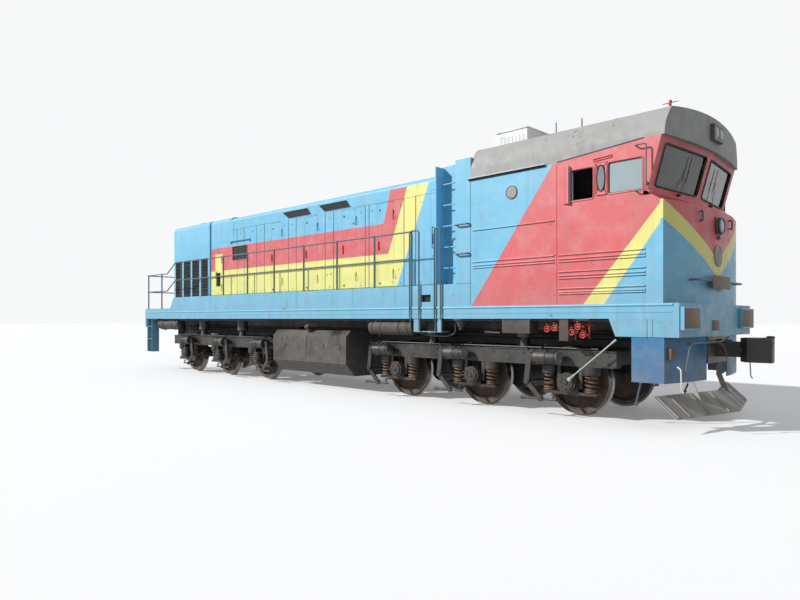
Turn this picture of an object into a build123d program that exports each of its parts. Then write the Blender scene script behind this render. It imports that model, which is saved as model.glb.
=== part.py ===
from build123d import *
import os
from math import atan2, cos, degrees, hypot, radians, sin

# Heavy diesel locomotive: a full-width cab at the front, a narrow engine hood with side
# walkways behind it, and two three-axle bogies.
# Millimetres. X points forward to the cab, Y to the left side, Z up.
# Heights are measured from the rail head. The parts are written raised by the depth of
# the wheel flange, so that the origin lies at the lowest point of the wheels.

# Overall sizes
COUPLED_LENGTH = 17400.0
BODY_WIDTH = 2950.0
HALF_WIDTH = BODY_WIDTH / 2
FRAME_FRONT = 7950.0
FRAME_REAR = -8150.0
PLATE = 12.0
SEAT_GAP = 0.3
RUN_GAP = 0.08
DOOR_GAP = 6.0

# Wheels and axles
WHEEL_RADIUS = 525.0
FLANGE_DEPTH = 28.0
FLANGE_WIDTH = 33.0
TYRE_WIDTH = 140.0
WHEEL_BACK = 720.0
TYRE_THICKNESS = 75.0
WEB_THICKNESS = 34.0
HUB_RADIUS = 150.0
AXLE_RADIUS = 95.0
JOURNAL_RADIUS = 70.0
JOURNAL_END = 1180.0
AXLE_SPACING = 1850.0
BOGIE_CENTRE = 4300.0

# Bogie frame
BEAM_INNER = 970.0
BEAM_OUTER = 1130.0
BEAM_BOTTOM = 770.0
BEAM_TOP = 1020.0
BEAM_HALF_LENGTH = 2620.0
TRANSOM_WIDTH = 300.0
BOX_RADIUS = 150.0
SPRING_RADIUS = 120.0
SPRING_SEAT = 300.0

# Underframe
SILL_BOTTOM = 1500.0
DECK_TOP = 1710.0
SILL_FLANGE = 110.0
SILL_WEB = 16.0
LIP_RADIUS = 22.0
CENTRE_SILL_OUTER = 420.0
CENTRE_SILL_WALL = 30.0
CENTRE_SILL_BOTTOM = 1300.0
BEARING_TOP = 1200.0
COUPLER_HEIGHT = 1060.0
SHANK_HALF_HEIGHT = 110.0

# Walkways and rear platform
WALKWAY_TOP = 2100.0
WALKWAY_FRONT = 3700.0
WALKWAY_REAR = -6300.0
WALKWAY_SLOPE = 200.0
PLATFORM_TOP = 1800.0

# Engine hood and radiator housing
HOOD_HALF = 820.0
HOOD_WALL = 40.0
HOOD_EAVE = 4130.0
HOOD_TOP = 4250.0
HOOD_REAR = -4250.0
RADIATOR_HALF = 860.0
RADIATOR_REAR = -7500.0
RADIATOR_FRONT = -5350.0
RADIATOR_SILL = 2150.0
RADIATOR_HEAD = 3230.0
FAN_X = -6250.0
FAN_RADIUS = 560.0
FAN_SHAFT = 35.0

# Vestibule and cab
VESTIBULE_REAR = 3700.0
RECESS_FRONT = 4170.0
RECESS_Y = 1250.0
VESTIBULE_TOP = 4190.0
CAB_REAR = 4500.0
CAB_WALL = 40.0
CAB_FLOOR_TOP = 2100.0
NOSE_CORNER = 7740.0
NOSE_CENTRE = 7940.0
NOSE_TOP = 3100.0
SCREEN_BASE = 3230.0
SCREEN_BASE_CORNER = 7520.0
SCREEN_TOP = 3960.0
SCREEN_RAKE = 200.0
SCREEN_VEE = 130.0
ROOF_EAVE = 3840.0
ROOF_SHOULDER_Y = 1300.0
ROOF_SHOULDER = 4170.0
ROOF_CROWN = 4450.0
ROOF_FRONT = 7900.0
ROOF_REAR = CAB_REAR
ROOF_CORNER = 7760.0
EAVE_RISE_X = 6150.0
ROOF_SHELL = 40.0

# Hinges of the doors
PIN_RADIUS = 7.0
KNUCKLE_RADIUS = 14.0
KNUCKLE_LENGTH = 90.0

os.makedirs("parts", exist_ok=True)


def write(name, shape):
    """Raise a part by the flange depth and write it."""
    pieces = shape if isinstance(shape, list) else [shape]
    raised = [Pos(0, 0, FLANGE_DEPTH) * piece for piece in pieces]
    whole = raised[0] if len(raised) == 1 else Compound(children=raised)
    export_step(whole, "parts/" + name + ".step")


def block(x0, x1, y0, y1, z0, z1):
    """A box between two corners."""
    return Pos((x0 + x1) / 2, (y0 + y1) / 2, (z0 + z1) / 2) * Box(x1 - x0, y1 - y0, z1 - z0)


def rod_x(y, z, radius, x0, x1):
    return Pos((x0 + x1) / 2, y, z) * Rot(0, 90, 0) * Cylinder(radius, x1 - x0)


def rod_y(x, z, radius, y0, y1):
    return Pos(x, (y0 + y1) / 2, z) * Rot(90, 0, 0) * Cylinder(radius, y1 - y0)


def rod_z(x, y, radius, z0, z1):
    return Pos(x, y, (z0 + z1) / 2) * Cylinder(radius, z1 - z0)


def bar(start, end, radius):
    """A round bar from one point to another."""
    a = Vector(*start)
    b = Vector(*end)
    plane = Plane(origin=a, z_dir=b - a)
    return extrude(plane * Circle(radius), (b - a).length)


def prism_y(points, y0, y1):
    """A side view outline of X and Z points, thick from y0 to y1."""
    face = make_face(Polyline(*[(x, y0, z) for x, z in points], close=True))
    return extrude(face, y1 - y0, dir=(0, 1, 0))


def prism_x(points, x0, x1):
    """An end view outline of Y and Z points, long from x0 to x1."""
    face = make_face(Polyline(*[(x0, y, z) for y, z in points], close=True))
    return extrude(face, x1 - x0, dir=(1, 0, 0))


def prism_z(points, z0, z1):
    """A plan outline of X and Y points, high from z0 to z1."""
    face = make_face(Polyline(*[(x, y, z0) for x, y in points], close=True))
    return extrude(face, z1 - z0, dir=(0, 0, 1))


def mirrored(shape):
    """The same piece on the other side of the locomotive."""
    return mirror(shape, about=Plane.XZ)


def pair(shape):
    return [shape, mirrored(shape)]


def fused(pieces):
    whole = pieces[0]
    return whole.fuse(*pieces[1:]) if len(pieces) > 1 else whole


# Wheelsets
def wheelset():
    """One axle with its two wheels, turned about the Y axis at the origin."""
    half = []
    rim_in = WHEEL_RADIUS - TYRE_THICKNESS
    web_y = WHEEL_BACK + TYRE_WIDTH / 2
    profile = [
        (0, 0),
        (AXLE_RADIUS, 0),
        (AXLE_RADIUS, WHEEL_BACK),
        (HUB_RADIUS, WHEEL_BACK),
        (HUB_RADIUS, web_y - WEB_THICKNESS / 2),
        (rim_in, web_y - WEB_THICKNESS / 2),
        (rim_in, WHEEL_BACK),
        (WHEEL_RADIUS + FLANGE_DEPTH, WHEEL_BACK + FLANGE_WIDTH / 3),
        (WHEEL_RADIUS, WHEEL_BACK + FLANGE_WIDTH),
        (WHEEL_RADIUS - 6, WHEEL_BACK + TYRE_WIDTH),
        (rim_in, WHEEL_BACK + TYRE_WIDTH),
        (rim_in, web_y + WEB_THICKNESS / 2),
        (HUB_RADIUS, web_y + WEB_THICKNESS / 2),
        (HUB_RADIUS, WHEEL_BACK + TYRE_WIDTH + 10),
        (JOURNAL_RADIUS, WHEEL_BACK + TYRE_WIDTH + 10),
        (JOURNAL_RADIUS, JOURNAL_END),
        (0, JOURNAL_END),
    ]
    face = make_face(Polyline(*[(r, y, 0) for r, y in profile], close=True))
    half = revolve(face, Axis.Y)
    return fused(pair(half))


AXLE_PLACES = [-AXLE_SPACING, 0.0, AXLE_SPACING]
# Every bogie: name and the place of its pivot; the rear one is the front one turned round.
BOGIES = [("front", BOGIE_CENTRE, 0), ("rear", -BOGIE_CENTRE, 180)]


def placed(shape, centre, turn):
    """Put a bogie piece, drawn about its pivot, under one end of the locomotive."""
    pieces = shape if isinstance(shape, list) else [shape]
    return [Pos(centre, 0, 0) * Rot(0, 0, turn) * piece for piece in pieces]


# Bogie pieces, drawn about the pivot
BOX_TOP = 700.0
BOX_HALF_WIDTH = 170.0
BOX_HALF_LENGTH = 190.0
WING_TOP = WHEEL_RADIUS - 150.0
WING_DEPTH = 45.0
SPRING_FRONT = 335.0
SPRING_REAR = -380.0
BEARING_X = 1000.0
BEARING_RADIUS = 130.0
PIVOT_RADIUS = 180.0


def bogie_frame():
    beams = []
    beam = block(-BEAM_HALF_LENGTH, BEAM_HALF_LENGTH, BEAM_INNER, BEAM_OUTER, BEAM_BOTTOM, BEAM_TOP)
    beams += pair(beam)
    for x in (-AXLE_SPACING / 2, AXLE_SPACING / 2):
        beams.append(
            block(
                x - TRANSOM_WIDTH / 2,
                x + TRANSOM_WIDTH / 2,
                -BEAM_INNER - 1,
                BEAM_INNER + 1,
                BEAM_BOTTOM,
                BEAM_TOP - 40,
            )
        )
    for x in (-1, 1):
        end = x * (BEAM_HALF_LENGTH - 70)
        beams.append(block(end - 60, end + 60, -BEAM_INNER - 1, BEAM_INNER + 1, BEAM_BOTTOM + 40, BEAM_TOP))
    beams.append(
        block(
            -AXLE_SPACING / 2 - 1,
            AXLE_SPACING / 2 + 1,
            -PIVOT_RADIUS - 60,
            PIVOT_RADIUS + 60,
            BEAM_TOP - 120,
            BEAM_TOP,
        )
    )
    for x in (-BEARING_X, BEARING_X):
        seat = Pos(x, (BEAM_INNER + BEAM_OUTER) / 2, BEAM_TOP) * Cone(
            BEARING_RADIUS - 30,
            BEARING_RADIUS - 60,
            BEARING_TOP - BEAM_TOP - SEAT_GAP,
            align=(Align.CENTER, Align.CENTER, Align.MIN),
        )
        beams += pair(seat)
    for side in (BEAM_INNER + BEAM_OUTER) / 2, -(BEAM_INNER + BEAM_OUTER) / 2:
        for axle in AXLE_PLACES:
            for dx in (SPRING_FRONT, SPRING_REAR):
                beams.append(
                    rod_z(axle + dx, side, SPRING_RADIUS + 12, BEAM_BOTTOM - 130, BEAM_BOTTOM + 1)
                )
    frame = fused(beams)
    return frame - rod_z(0, 0, PIVOT_RADIUS / 2 + 5, BEAM_BOTTOM, BEAM_TOP + 10)


def axle_boxes():
    boxes = []
    middle = (BEAM_INNER + BEAM_OUTER) / 2
    for axle in AXLE_PLACES:
        shell = rod_y(axle, WHEEL_RADIUS, BOX_RADIUS, middle - 95, middle + 160)
        wing = block(
            axle + SPRING_REAR - SPRING_RADIUS,
            axle + SPRING_FRONT + SPRING_RADIUS,
            middle - 80,
            middle + 80,
            WING_TOP - WING_DEPTH,
            WING_TOP,
        )
        neck = block(
            axle - BOX_RADIUS, axle + BOX_RADIUS, middle - 80, middle + 80, WING_TOP - 1, WHEEL_RADIUS
        )
        box = fused([shell, wing, neck])
        box -= rod_y(axle, WHEEL_RADIUS, JOURNAL_RADIUS + RUN_GAP, middle - 200, JOURNAL_END + 2)
        boxes += pair(box)
    return boxes


def springs():
    coils = []
    middle = (BEAM_INNER + BEAM_OUTER) / 2
    for axle in AXLE_PLACES:
        for dx in (SPRING_FRONT, SPRING_REAR):
            coil = rod_z(
                axle + dx, middle, SPRING_RADIUS - 15, WING_TOP + SEAT_GAP, BEAM_BOTTOM - 130 - SEAT_GAP
            )
            coils += pair(coil)
    return coils


BRAKE_CYLINDER_RADIUS = 105.0
BRAKE_CYLINDER_LENGTH = 430.0
BRAKE_Y = 1290.0
SHOE_CLEARANCE = 8.0
SHOE_THICKNESS = 60.0
SHOE_ANGLE = 24.0


def brake_gear():
    gear = []
    for axle in AXLE_PLACES:
        end = axle - 90
        cylinder = rod_x(
            BRAKE_Y, BEAM_TOP - 120, BRAKE_CYLINDER_RADIUS, end - BRAKE_CYLINDER_LENGTH, end
        )
        foot = block(
            end - BRAKE_CYLINDER_LENGTH + 80,
            end - 80,
            BEAM_OUTER + SEAT_GAP,
            BRAKE_Y,
            BEAM_TOP - 200,
            BEAM_TOP - 40,
        )
        rod = rod_x(
            BRAKE_Y, BEAM_TOP - 120, 22, end - BRAKE_CYLINDER_LENGTH - 90, end - BRAKE_CYLINDER_LENGTH + 1
        )
        lever_top = (end - BRAKE_CYLINDER_LENGTH - 80, BRAKE_Y, BEAM_TOP - 100)
        lever_end = (axle - WHEEL_RADIUS - 130, BRAKE_Y, WHEEL_RADIUS - 20)
        lever = bar(lever_top, lever_end, 26)
        shaft = rod_y(lever_end[0], lever_end[2], 24, WHEEL_BACK + 20, BRAKE_Y + 20)
        inner = WHEEL_RADIUS + SHOE_CLEARANCE
        ring = rod_y(axle, WHEEL_RADIUS, inner + SHOE_THICKNESS, WHEEL_BACK + 40, WHEEL_BACK + 120)
        ring -= rod_y(axle, WHEEL_RADIUS, inner, WHEEL_BACK + 30, WHEEL_BACK + 130)
        sector = block(
            axle - WHEEL_RADIUS - 120,
            axle - WHEEL_RADIUS / 2,
            WHEEL_BACK + 30,
            WHEEL_BACK + 130,
            WHEEL_RADIUS - 190,
            WHEEL_RADIUS + 170,
        )
        shoe = ring & sector
        head = block(
            lever_end[0] - 24,
            axle - inner - SHOE_THICKNESS / 2,
            WHEEL_BACK + 50,
            WHEEL_BACK + 110,
            lever_end[2] - 24,
            lever_end[2] + 24,
        )
        gear += pair(fused([cylinder, foot, rod, lever, shaft, shoe, head]))
    return gear


MOTOR_RADIUS = 330.0
MOTOR_HALF = 480.0
MOTOR_OFFSET = 520.0


def traction_motors():
    """One motor hung on each axle, on the side of the brake shoes' opposite face."""
    motors = []
    for axle in AXLE_PLACES:
        centre = axle + MOTOR_OFFSET if axle < AXLE_SPACING else axle - MOTOR_OFFSET
        drum = rod_y(centre, WHEEL_RADIUS + 5, MOTOR_RADIUS - 90, -MOTOR_HALF, MOTOR_HALF)
        collar = rod_y(axle, WHEEL_RADIUS, AXLE_RADIUS + 55, -MOTOR_HALF, MOTOR_HALF)
        low = min(axle, centre)
        high = max(axle, centre)
        bridge = block(low, high, -MOTOR_HALF, MOTOR_HALF, WHEEL_RADIUS - 120, WHEEL_RADIUS + 120)
        motor = fused([drum, collar, bridge])
        motor -= rod_y(axle, WHEEL_RADIUS, AXLE_RADIUS + RUN_GAP, -MOTOR_HALF - 5, MOTOR_HALF + 5)
        motors.append(motor)
    return motors


number = 0
for name, centre, turn in BOGIES:
    write("bogie_frame_" + name, placed(bogie_frame(), centre, turn))
    write("axle_boxes_" + name, placed(axle_boxes(), centre, turn))
    write("springs_" + name, placed(springs(), centre, turn))
    write("brake_gear_" + name, placed(brake_gear(), centre, turn))
    write("traction_motors_" + name, placed(traction_motors(), centre, turn))
    for axle in reversed(AXLE_PLACES) if turn == 0 else AXLE_PLACES:
        number += 1
        place = centre + axle if turn == 0 else centre - axle
        write("wheelset_" + str(number), Pos(place, 0, WHEEL_RADIUS) * wheelset())

# Underframe
HALF_WIDTH_IN = HALF_WIDTH - SILL_FLANGE
CROSS_MEMBERS = [-7300.0, -5300.0, -4300.0, -3300.0, -1700.0, 1500.0, 3300.0, 4300.0, 5300.0, 6900.0]
MEMBER_WIDTH = 160.0
END_BEAM = 80.0
END_BEAM_BOTTOM = 1250.0
DECK_PLATE = 20.0
DRAFT_HALF = 240.0
DRAFT_BOTTOM = 860.0
DRAFT_LENGTH = 900.0
JACKING_PADS = [6550.0, -7550.0]
PAD_LENGTH = 220.0
PAD_WIDTH = 90.0
PAD_DEPTH = 24.0


def underframe():
    pieces = []
    for side in (1, -1):
        outer = side * HALF_WIDTH
        web = side * (HALF_WIDTH - SILL_WEB)
        inner = side * HALF_WIDTH_IN
        channel = [
            (outer, SILL_BOTTOM),
            (outer, DECK_TOP),
            (inner, DECK_TOP),
            (inner, DECK_TOP - DECK_PLATE),
            (web, DECK_TOP - DECK_PLATE),
            (web, SILL_BOTTOM + SILL_WEB),
            (inner, SILL_BOTTOM + SILL_WEB),
            (inner, SILL_BOTTOM),
        ]
        pieces.append(prism_x(channel, FRAME_REAR, FRAME_FRONT - END_BEAM))
        girder = side * CENTRE_SILL_OUTER
        low, high = sorted((girder, girder - side * CENTRE_SILL_WALL))
        pieces.append(block(FRAME_REAR, FRAME_FRONT, low, high, CENTRE_SILL_BOTTOM, DECK_TOP - 1))
    deck = DECK_TOP - DECK_PLATE
    pieces.append(block(FRAME_REAR, FRAME_FRONT, -HALF_WIDTH_IN - 1, HALF_WIDTH_IN + 1, deck, DECK_TOP))
    for x in CROSS_MEMBERS:
        pieces.append(
            block(
                x - MEMBER_WIDTH / 2,
                x + MEMBER_WIDTH / 2,
                -HALF_WIDTH_IN - 1,
                HALF_WIDTH_IN + 1,
                SILL_BOTTOM,
                deck + 1,
            )
        )
    for start in (FRAME_REAR, FRAME_FRONT - END_BEAM):
        pieces.append(
            block(start, start + END_BEAM, -HALF_WIDTH, HALF_WIDTH, END_BEAM_BOTTOM, DECK_TOP)
        )
    for end, way in ((FRAME_FRONT, -1), (FRAME_REAR, 1)):
        low, high = sorted((end, end + way * DRAFT_LENGTH))
        for side in (1, -1):
            near, far = sorted((side * DRAFT_HALF, side * (DRAFT_HALF - 30)))
            pieces.append(block(low, high, near, far, DRAFT_BOTTOM, SILL_BOTTOM + 1))
        pieces.append(block(low, high, -DRAFT_HALF, DRAFT_HALF, SILL_BOTTOM - 30, SILL_BOTTOM))
        plate_low, plate_high = sorted((end, end + way * 30))
        face = block(plate_low, plate_high, -CENTRE_SILL_OUTER, CENTRE_SILL_OUTER, DRAFT_BOTTOM, SILL_BOTTOM)
        slot = block(
            plate_low - 5,
            plate_high + 5,
            -150,
            150,
            COUPLER_HEIGHT - SHANK_HALF_HEIGHT - SEAT_GAP,
            COUPLER_HEIGHT + SHANK_HALF_HEIGHT + 30,
        )
        pieces.append(face - slot)
    for centre in (BOGIE_CENTRE, -BOGIE_CENTRE):
        pieces.append(
            block(
                centre - 300,
                centre + 300,
                -CENTRE_SILL_OUTER,
                CENTRE_SILL_OUTER,
                CENTRE_SILL_BOTTOM - 60,
                SILL_BOTTOM,
            )
        )
        pieces.append(rod_z(centre, 0, PIVOT_RADIUS / 2, BEAM_TOP - 100, CENTRE_SILL_BOTTOM))
        for dx in (-BEARING_X, BEARING_X):
            for side in (1, -1):
                y = side * (BEAM_INNER + BEAM_OUTER) / 2
                pieces.append(rod_z(centre + dx, y, BEARING_RADIUS, BEARING_TOP, SILL_BOTTOM + 1))
    frame = fused(pieces)
    lip_y = HALF_WIDTH - LIP_RADIUS / 3
    lip = rod_x(lip_y, DECK_TOP - LIP_RADIUS, LIP_RADIUS, FRAME_REAR, FRAME_FRONT - END_BEAM)
    pads = []
    for x in JACKING_PADS:
        pads += pair(
            block(
                x - PAD_LENGTH / 2,
                x + PAD_LENGTH / 2,
                HALF_WIDTH_IN + 1,
                HALF_WIDTH_IN + PAD_WIDTH,
                SILL_BOTTOM - PAD_DEPTH,
                SILL_BOTTOM + 1,
            )
        )
    return frame.fuse(lip, mirrored(lip), *pads)


def walkways():
    """A raised duct along each side of the hood, sloping down to the rear platform."""
    duct = prism_y(
        [
            (WALKWAY_FRONT, DECK_TOP),
            (WALKWAY_FRONT, WALKWAY_TOP),
            (WALKWAY_REAR, WALKWAY_TOP),
            (WALKWAY_REAR - WALKWAY_SLOPE, PLATFORM_TOP),
            (WALKWAY_REAR - WALKWAY_SLOPE, DECK_TOP),
        ],
        RADIATOR_HALF,
        HALF_WIDTH,
    )
    step = block(RADIATOR_FRONT, WALKWAY_FRONT, HOOD_HALF, RADIATOR_HALF + 1, DECK_TOP, WALKWAY_TOP)
    platform = block(
        RADIATOR_REAR, WALKWAY_REAR - WALKWAY_SLOPE + 1, RADIATOR_HALF, HALF_WIDTH, DECK_TOP, PLATFORM_TOP
    )
    rear = block(FRAME_REAR, RADIATOR_REAR, 0, HALF_WIDTH, DECK_TOP, PLATFORM_TOP)
    tool_hole = block(3350, 3600, HALF_WIDTH - 60, HALF_WIDTH + 1, PLATFORM_TOP, PLATFORM_TOP + 130)
    side = fused([duct - tool_hole, step, platform, rear])
    return side.fuse(mirrored(side))


# Hood doors: each leaf by the place of its rear edge, its width, its bottom and its top.
HOOD_DOORS = [
    (-2350.0, 460.0, 2160.0, 3880.0),
    (-950.0, 460.0, 2160.0, 3880.0),
    (390.0, 460.0, 2160.0, 3880.0),
    (1530.0, 460.0, 2160.0, 3880.0),
]
# Vents of the engine hood by the X places of their top and bottom corners.
HOOD_VENTS = [(-1870.0, -850.0, -1600.0, -700.0), (-450.0, 550.0, -200.0, 700.0)]
VENT_TOP = 4100.0
VENT_BOTTOM = 3925.0
LOUVRE = (-4180.0, -3450.0, 3070.0, 3450.0)
VESTIBULE_DOOR = (3020.0, 600.0, 2120.0, 3960.0)
SERVICE_DOOR = (-5080.0, 330.0, 2200.0, 3300.0)


def leaf_hole(door, half):
    x, width, low, high = door
    return block(
        x - DOOR_GAP,
        x + width + DOOR_GAP,
        half - HOOD_WALL - 5,
        half + 5,
        low - DOOR_GAP,
        high + DOOR_GAP,
    )


def hinge_heights(door):
    low, high = door[2], door[3]
    return [low + (high - low) * share for share in (0.15, 0.85)]


def hinge_place(door, half):
    """The pin stands just outside the wall at the forward edge of the leaf."""
    return door[0] + door[1] + DOOR_GAP / 2, half + KNUCKLE_RADIUS


def hinge_lugs(door, half):
    """Lower lug and pin of each lift-off hinge, carried by the wall."""
    x, y = hinge_place(door, half)
    lugs = []
    for z in hinge_heights(door):
        lugs.append(rod_z(x, y, KNUCKLE_RADIUS, z - KNUCKLE_LENGTH, z - SEAT_GAP))
        lugs.append(block(x, x + 60, half - 5, half + 8, z - KNUCKLE_LENGTH, z - SEAT_GAP))
        lugs.append(rod_z(x, y, PIN_RADIUS, z - KNUCKLE_LENGTH / 2, z + KNUCKLE_LENGTH - 10))
    return lugs


def door_leaf(door, half, vent=None):
    x, width, low, high = door
    leaf = block(x, x + width, half - HOOD_WALL, half, low, high)
    pin_x, pin_y = hinge_place(door, half)
    parts = [leaf]
    for z in hinge_heights(door):
        parts.append(rod_z(pin_x, pin_y, KNUCKLE_RADIUS, z, z + KNUCKLE_LENGTH))
        parts.append(block(pin_x - 60, pin_x, half - 5, half + 8, z, z + KNUCKLE_LENGTH))
    parts.append(block(x + 25, x + 45, half - 1, half + 30, (low + high) / 2 - 90, (low + high) / 2 + 90))
    whole = fused(parts)
    for z in hinge_heights(door):
        whole -= rod_z(pin_x, pin_y, PIN_RADIUS + RUN_GAP, z - 5, z + KNUCKLE_LENGTH + 5)
    if vent:
        whole -= block(vent[0], vent[1], half - HOOD_WALL - 5, half + 5, vent[2], vent[3])
    return whole


def hood_sides():
    wall = block(HOOD_REAR, VESTIBULE_REAR, HOOD_HALF - HOOD_WALL, HOOD_HALF, DECK_TOP, HOOD_EAVE)
    for door in HOOD_DOORS + [VESTIBULE_DOOR]:
        wall -= leaf_hole(door, HOOD_HALF)
    for top_rear, top_front, low_rear, low_front in HOOD_VENTS:
        outline = [
            (top_rear, VENT_TOP),
            (top_front, VENT_TOP),
            (low_front, VENT_BOTTOM),
            (low_rear, VENT_BOTTOM),
        ]
        wall -= prism_y(outline, HOOD_HALF - HOOD_WALL - 5, HOOD_HALF + 5)
    wall -= block(LOUVRE[0], LOUVRE[1], HOOD_HALF - HOOD_WALL - 5, HOOD_HALF + 5, LOUVRE[2], LOUVRE[3])
    lugs = []
    for door in HOOD_DOORS + [VESTIBULE_DOOR]:
        lugs += hinge_lugs(door, HOOD_HALF)
    return pair(fused([wall] + lugs))


def arched(half, low, shoulder, flat, top, x0, x1):
    """A roof block: upright sides, an arc inward to the flat and a low arc over the crown."""
    rise = top - shoulder
    flat_z = top - 0.15 * rise
    bend_y = flat + 0.75 * (half - flat)
    bend_z = shoulder + 0.62 * (flat_z - shoulder)
    outline = Wire(
        [
            Line((x0, -half, low), (x0, half, low)),
            Line((x0, half, low), (x0, half, shoulder)),
            ThreePointArc((x0, half, shoulder), (x0, bend_y, bend_z), (x0, flat, flat_z)),
            ThreePointArc((x0, flat, flat_z), (x0, 0, top), (x0, -flat, flat_z)),
            ThreePointArc((x0, -flat, flat_z), (x0, -bend_y, bend_z), (x0, -half, shoulder)),
            Line((x0, -half, shoulder), (x0, -half, low)),
        ]
    )
    return extrude(Face(outline), x1 - x0, dir=(1, 0, 0))


HOOD_FLAT = 700.0
STACK_X = -1300.0


def hood_roof():
    """Curved sheet over the engine, standing on the hood sides."""
    outer = arched(HOOD_HALF, HOOD_EAVE, HOOD_EAVE + 1, HOOD_FLAT, HOOD_TOP, HOOD_REAR, VESTIBULE_REAR)
    inner = arched(
        HOOD_HALF - HOOD_WALL,
        HOOD_EAVE - 10,
        HOOD_EAVE,
        HOOD_FLAT - HOOD_WALL,
        HOOD_TOP - HOOD_WALL,
        HOOD_REAR - 1,
        VESTIBULE_REAR + 1,
    )
    hole = rod_z(STACK_X, 0, STACK_RADIUS - STACK_WALL, HOOD_TOP - 200, HOOD_TOP + 50)
    return outer - inner - hole


STACK_RADIUS = 160.0
STACK_WALL = 8.0
STACK_HEIGHT = 130.0


def exhaust_stack():
    outer = rod_z(STACK_X, 0, STACK_RADIUS, HOOD_TOP + SEAT_GAP, HOOD_TOP + STACK_HEIGHT)
    return outer - rod_z(STACK_X, 0, STACK_RADIUS - STACK_WALL, HOOD_TOP - 10, HOOD_TOP + STACK_HEIGHT + 5)


RADIATOR_EAVE = 4150.0
RADIATOR_TOP = 4290.0
POST_WIDTH = 90.0
BAY_POSTS = [-7500.0, -6980.0, -6460.0, -5940.0, -5440.0]


def radiator_housing():
    """Walls with grille bays, a service door, the raised roof and the fan opening."""
    wall_in = RADIATOR_HALF - HOOD_WALL
    low_wall = block(RADIATOR_REAR, RADIATOR_FRONT, wall_in, RADIATOR_HALF, DECK_TOP, RADIATOR_EAVE)
    for near, far in zip(BAY_POSTS, BAY_POSTS[1:]):
        low_wall -= block(
            near + POST_WIDTH,
            far,
            wall_in - 5,
            RADIATOR_HALF + 5,
            RADIATOR_SILL,
            RADIATOR_HEAD,
        )
    high_wall = block(RADIATOR_FRONT, HOOD_REAR, HOOD_HALF - HOOD_WALL, HOOD_HALF, DECK_TOP, RADIATOR_EAVE)
    high_wall -= leaf_hole(SERVICE_DOOR, HOOD_HALF)
    joint = block(
        RADIATOR_FRONT - HOOD_WALL, RADIATOR_FRONT, HOOD_HALF - HOOD_WALL, RADIATOR_HALF, DECK_TOP, RADIATOR_EAVE
    )
    side = fused([low_wall, high_wall, joint] + hinge_lugs(SERVICE_DOOR, HOOD_HALF))
    end = block(
        RADIATOR_REAR, RADIATOR_REAR + HOOD_WALL, -RADIATOR_HALF, RADIATOR_HALF, PLATFORM_TOP, RADIATOR_EAVE
    )
    roof = arched(
        RADIATOR_HALF, RADIATOR_EAVE - 1, RADIATOR_EAVE, HOOD_FLAT, RADIATOR_TOP, RADIATOR_REAR, RADIATOR_FRONT
    )
    roof_front = arched(
        HOOD_HALF, RADIATOR_EAVE - 1, RADIATOR_EAVE, HOOD_FLAT, RADIATOR_TOP, RADIATOR_FRONT - 1, HOOD_REAR
    )
    hollow = arched(
        HOOD_HALF - HOOD_WALL,
        DECK_TOP + 100,
        RADIATOR_EAVE - 1,
        HOOD_FLAT - HOOD_WALL,
        RADIATOR_TOP - HOOD_WALL,
        RADIATOR_REAR + HOOD_WALL,
        HOOD_REAR + 1,
    )
    fan_hole = rod_z(FAN_X, 0, FAN_RADIUS, RADIATOR_EAVE - 200, RADIATOR_TOP + 10)
    roof = roof.fuse(roof_front) - hollow - fan_hole
    return fused([roof, end] + pair(side))


BLADE_COUNT = 8
FAN_HUB = 120.0
FAN_DEPTH = 90.0
GUARD_BAR = 10.0
GUARD_RINGS = [200.0, 320.0, 440.0]


def fan_guard():
    """Ring of bars over the fan, with a stub shaft that carries the rotor."""
    top = RADIATOR_TOP + 30
    rim = rod_z(FAN_X, 0, FAN_RADIUS + 60, RADIATOR_TOP + SEAT_GAP, top)
    rim -= rod_z(FAN_X, 0, FAN_RADIUS - 30, RADIATOR_TOP - 50, top + 5)
    pieces = [rim]
    pieces.append(rod_z(FAN_X, 0, FAN_HUB, RADIATOR_TOP - 10, top))
    for turn in range(4):
        spoke = block(-FAN_RADIUS, FAN_RADIUS, -GUARD_BAR, GUARD_BAR, top - 2 * GUARD_BAR, top)
        pieces.append(Pos(FAN_X, 0, 0) * Rot(0, 0, 45 * turn) * spoke)
    for radius in GUARD_RINGS:
        ring = rod_z(FAN_X, 0, radius + GUARD_BAR, top - 2 * GUARD_BAR, top)
        pieces.append(ring - rod_z(FAN_X, 0, radius - GUARD_BAR, top - 50, top + 5))
    pieces.append(rod_z(FAN_X, 0, FAN_SHAFT, RADIATOR_TOP - 220, RADIATOR_TOP))
    return fused(pieces)


def radiator_fan():
    top = RADIATOR_TOP - 60
    pieces = [rod_z(FAN_X, 0, FAN_HUB, top - FAN_DEPTH, top)]
    for number in range(BLADE_COUNT):
        blade = Rot(28, 0, 0) * Box(FAN_RADIUS - FAN_HUB - 15, 130, 8)
        blade = Pos(FAN_HUB + (FAN_RADIUS - FAN_HUB - 25) / 2, 0, top - FAN_DEPTH / 2) * blade
        pieces.append(Pos(FAN_X, 0, 0) * Rot(0, 0, number * 360 / BLADE_COUNT) * blade)
    return fused(pieces) - rod_z(FAN_X, 0, FAN_SHAFT + RUN_GAP, top - 300, top + 50)


SLAT_PITCH = 135.0
SLAT_THICKNESS = 8.0


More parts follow.
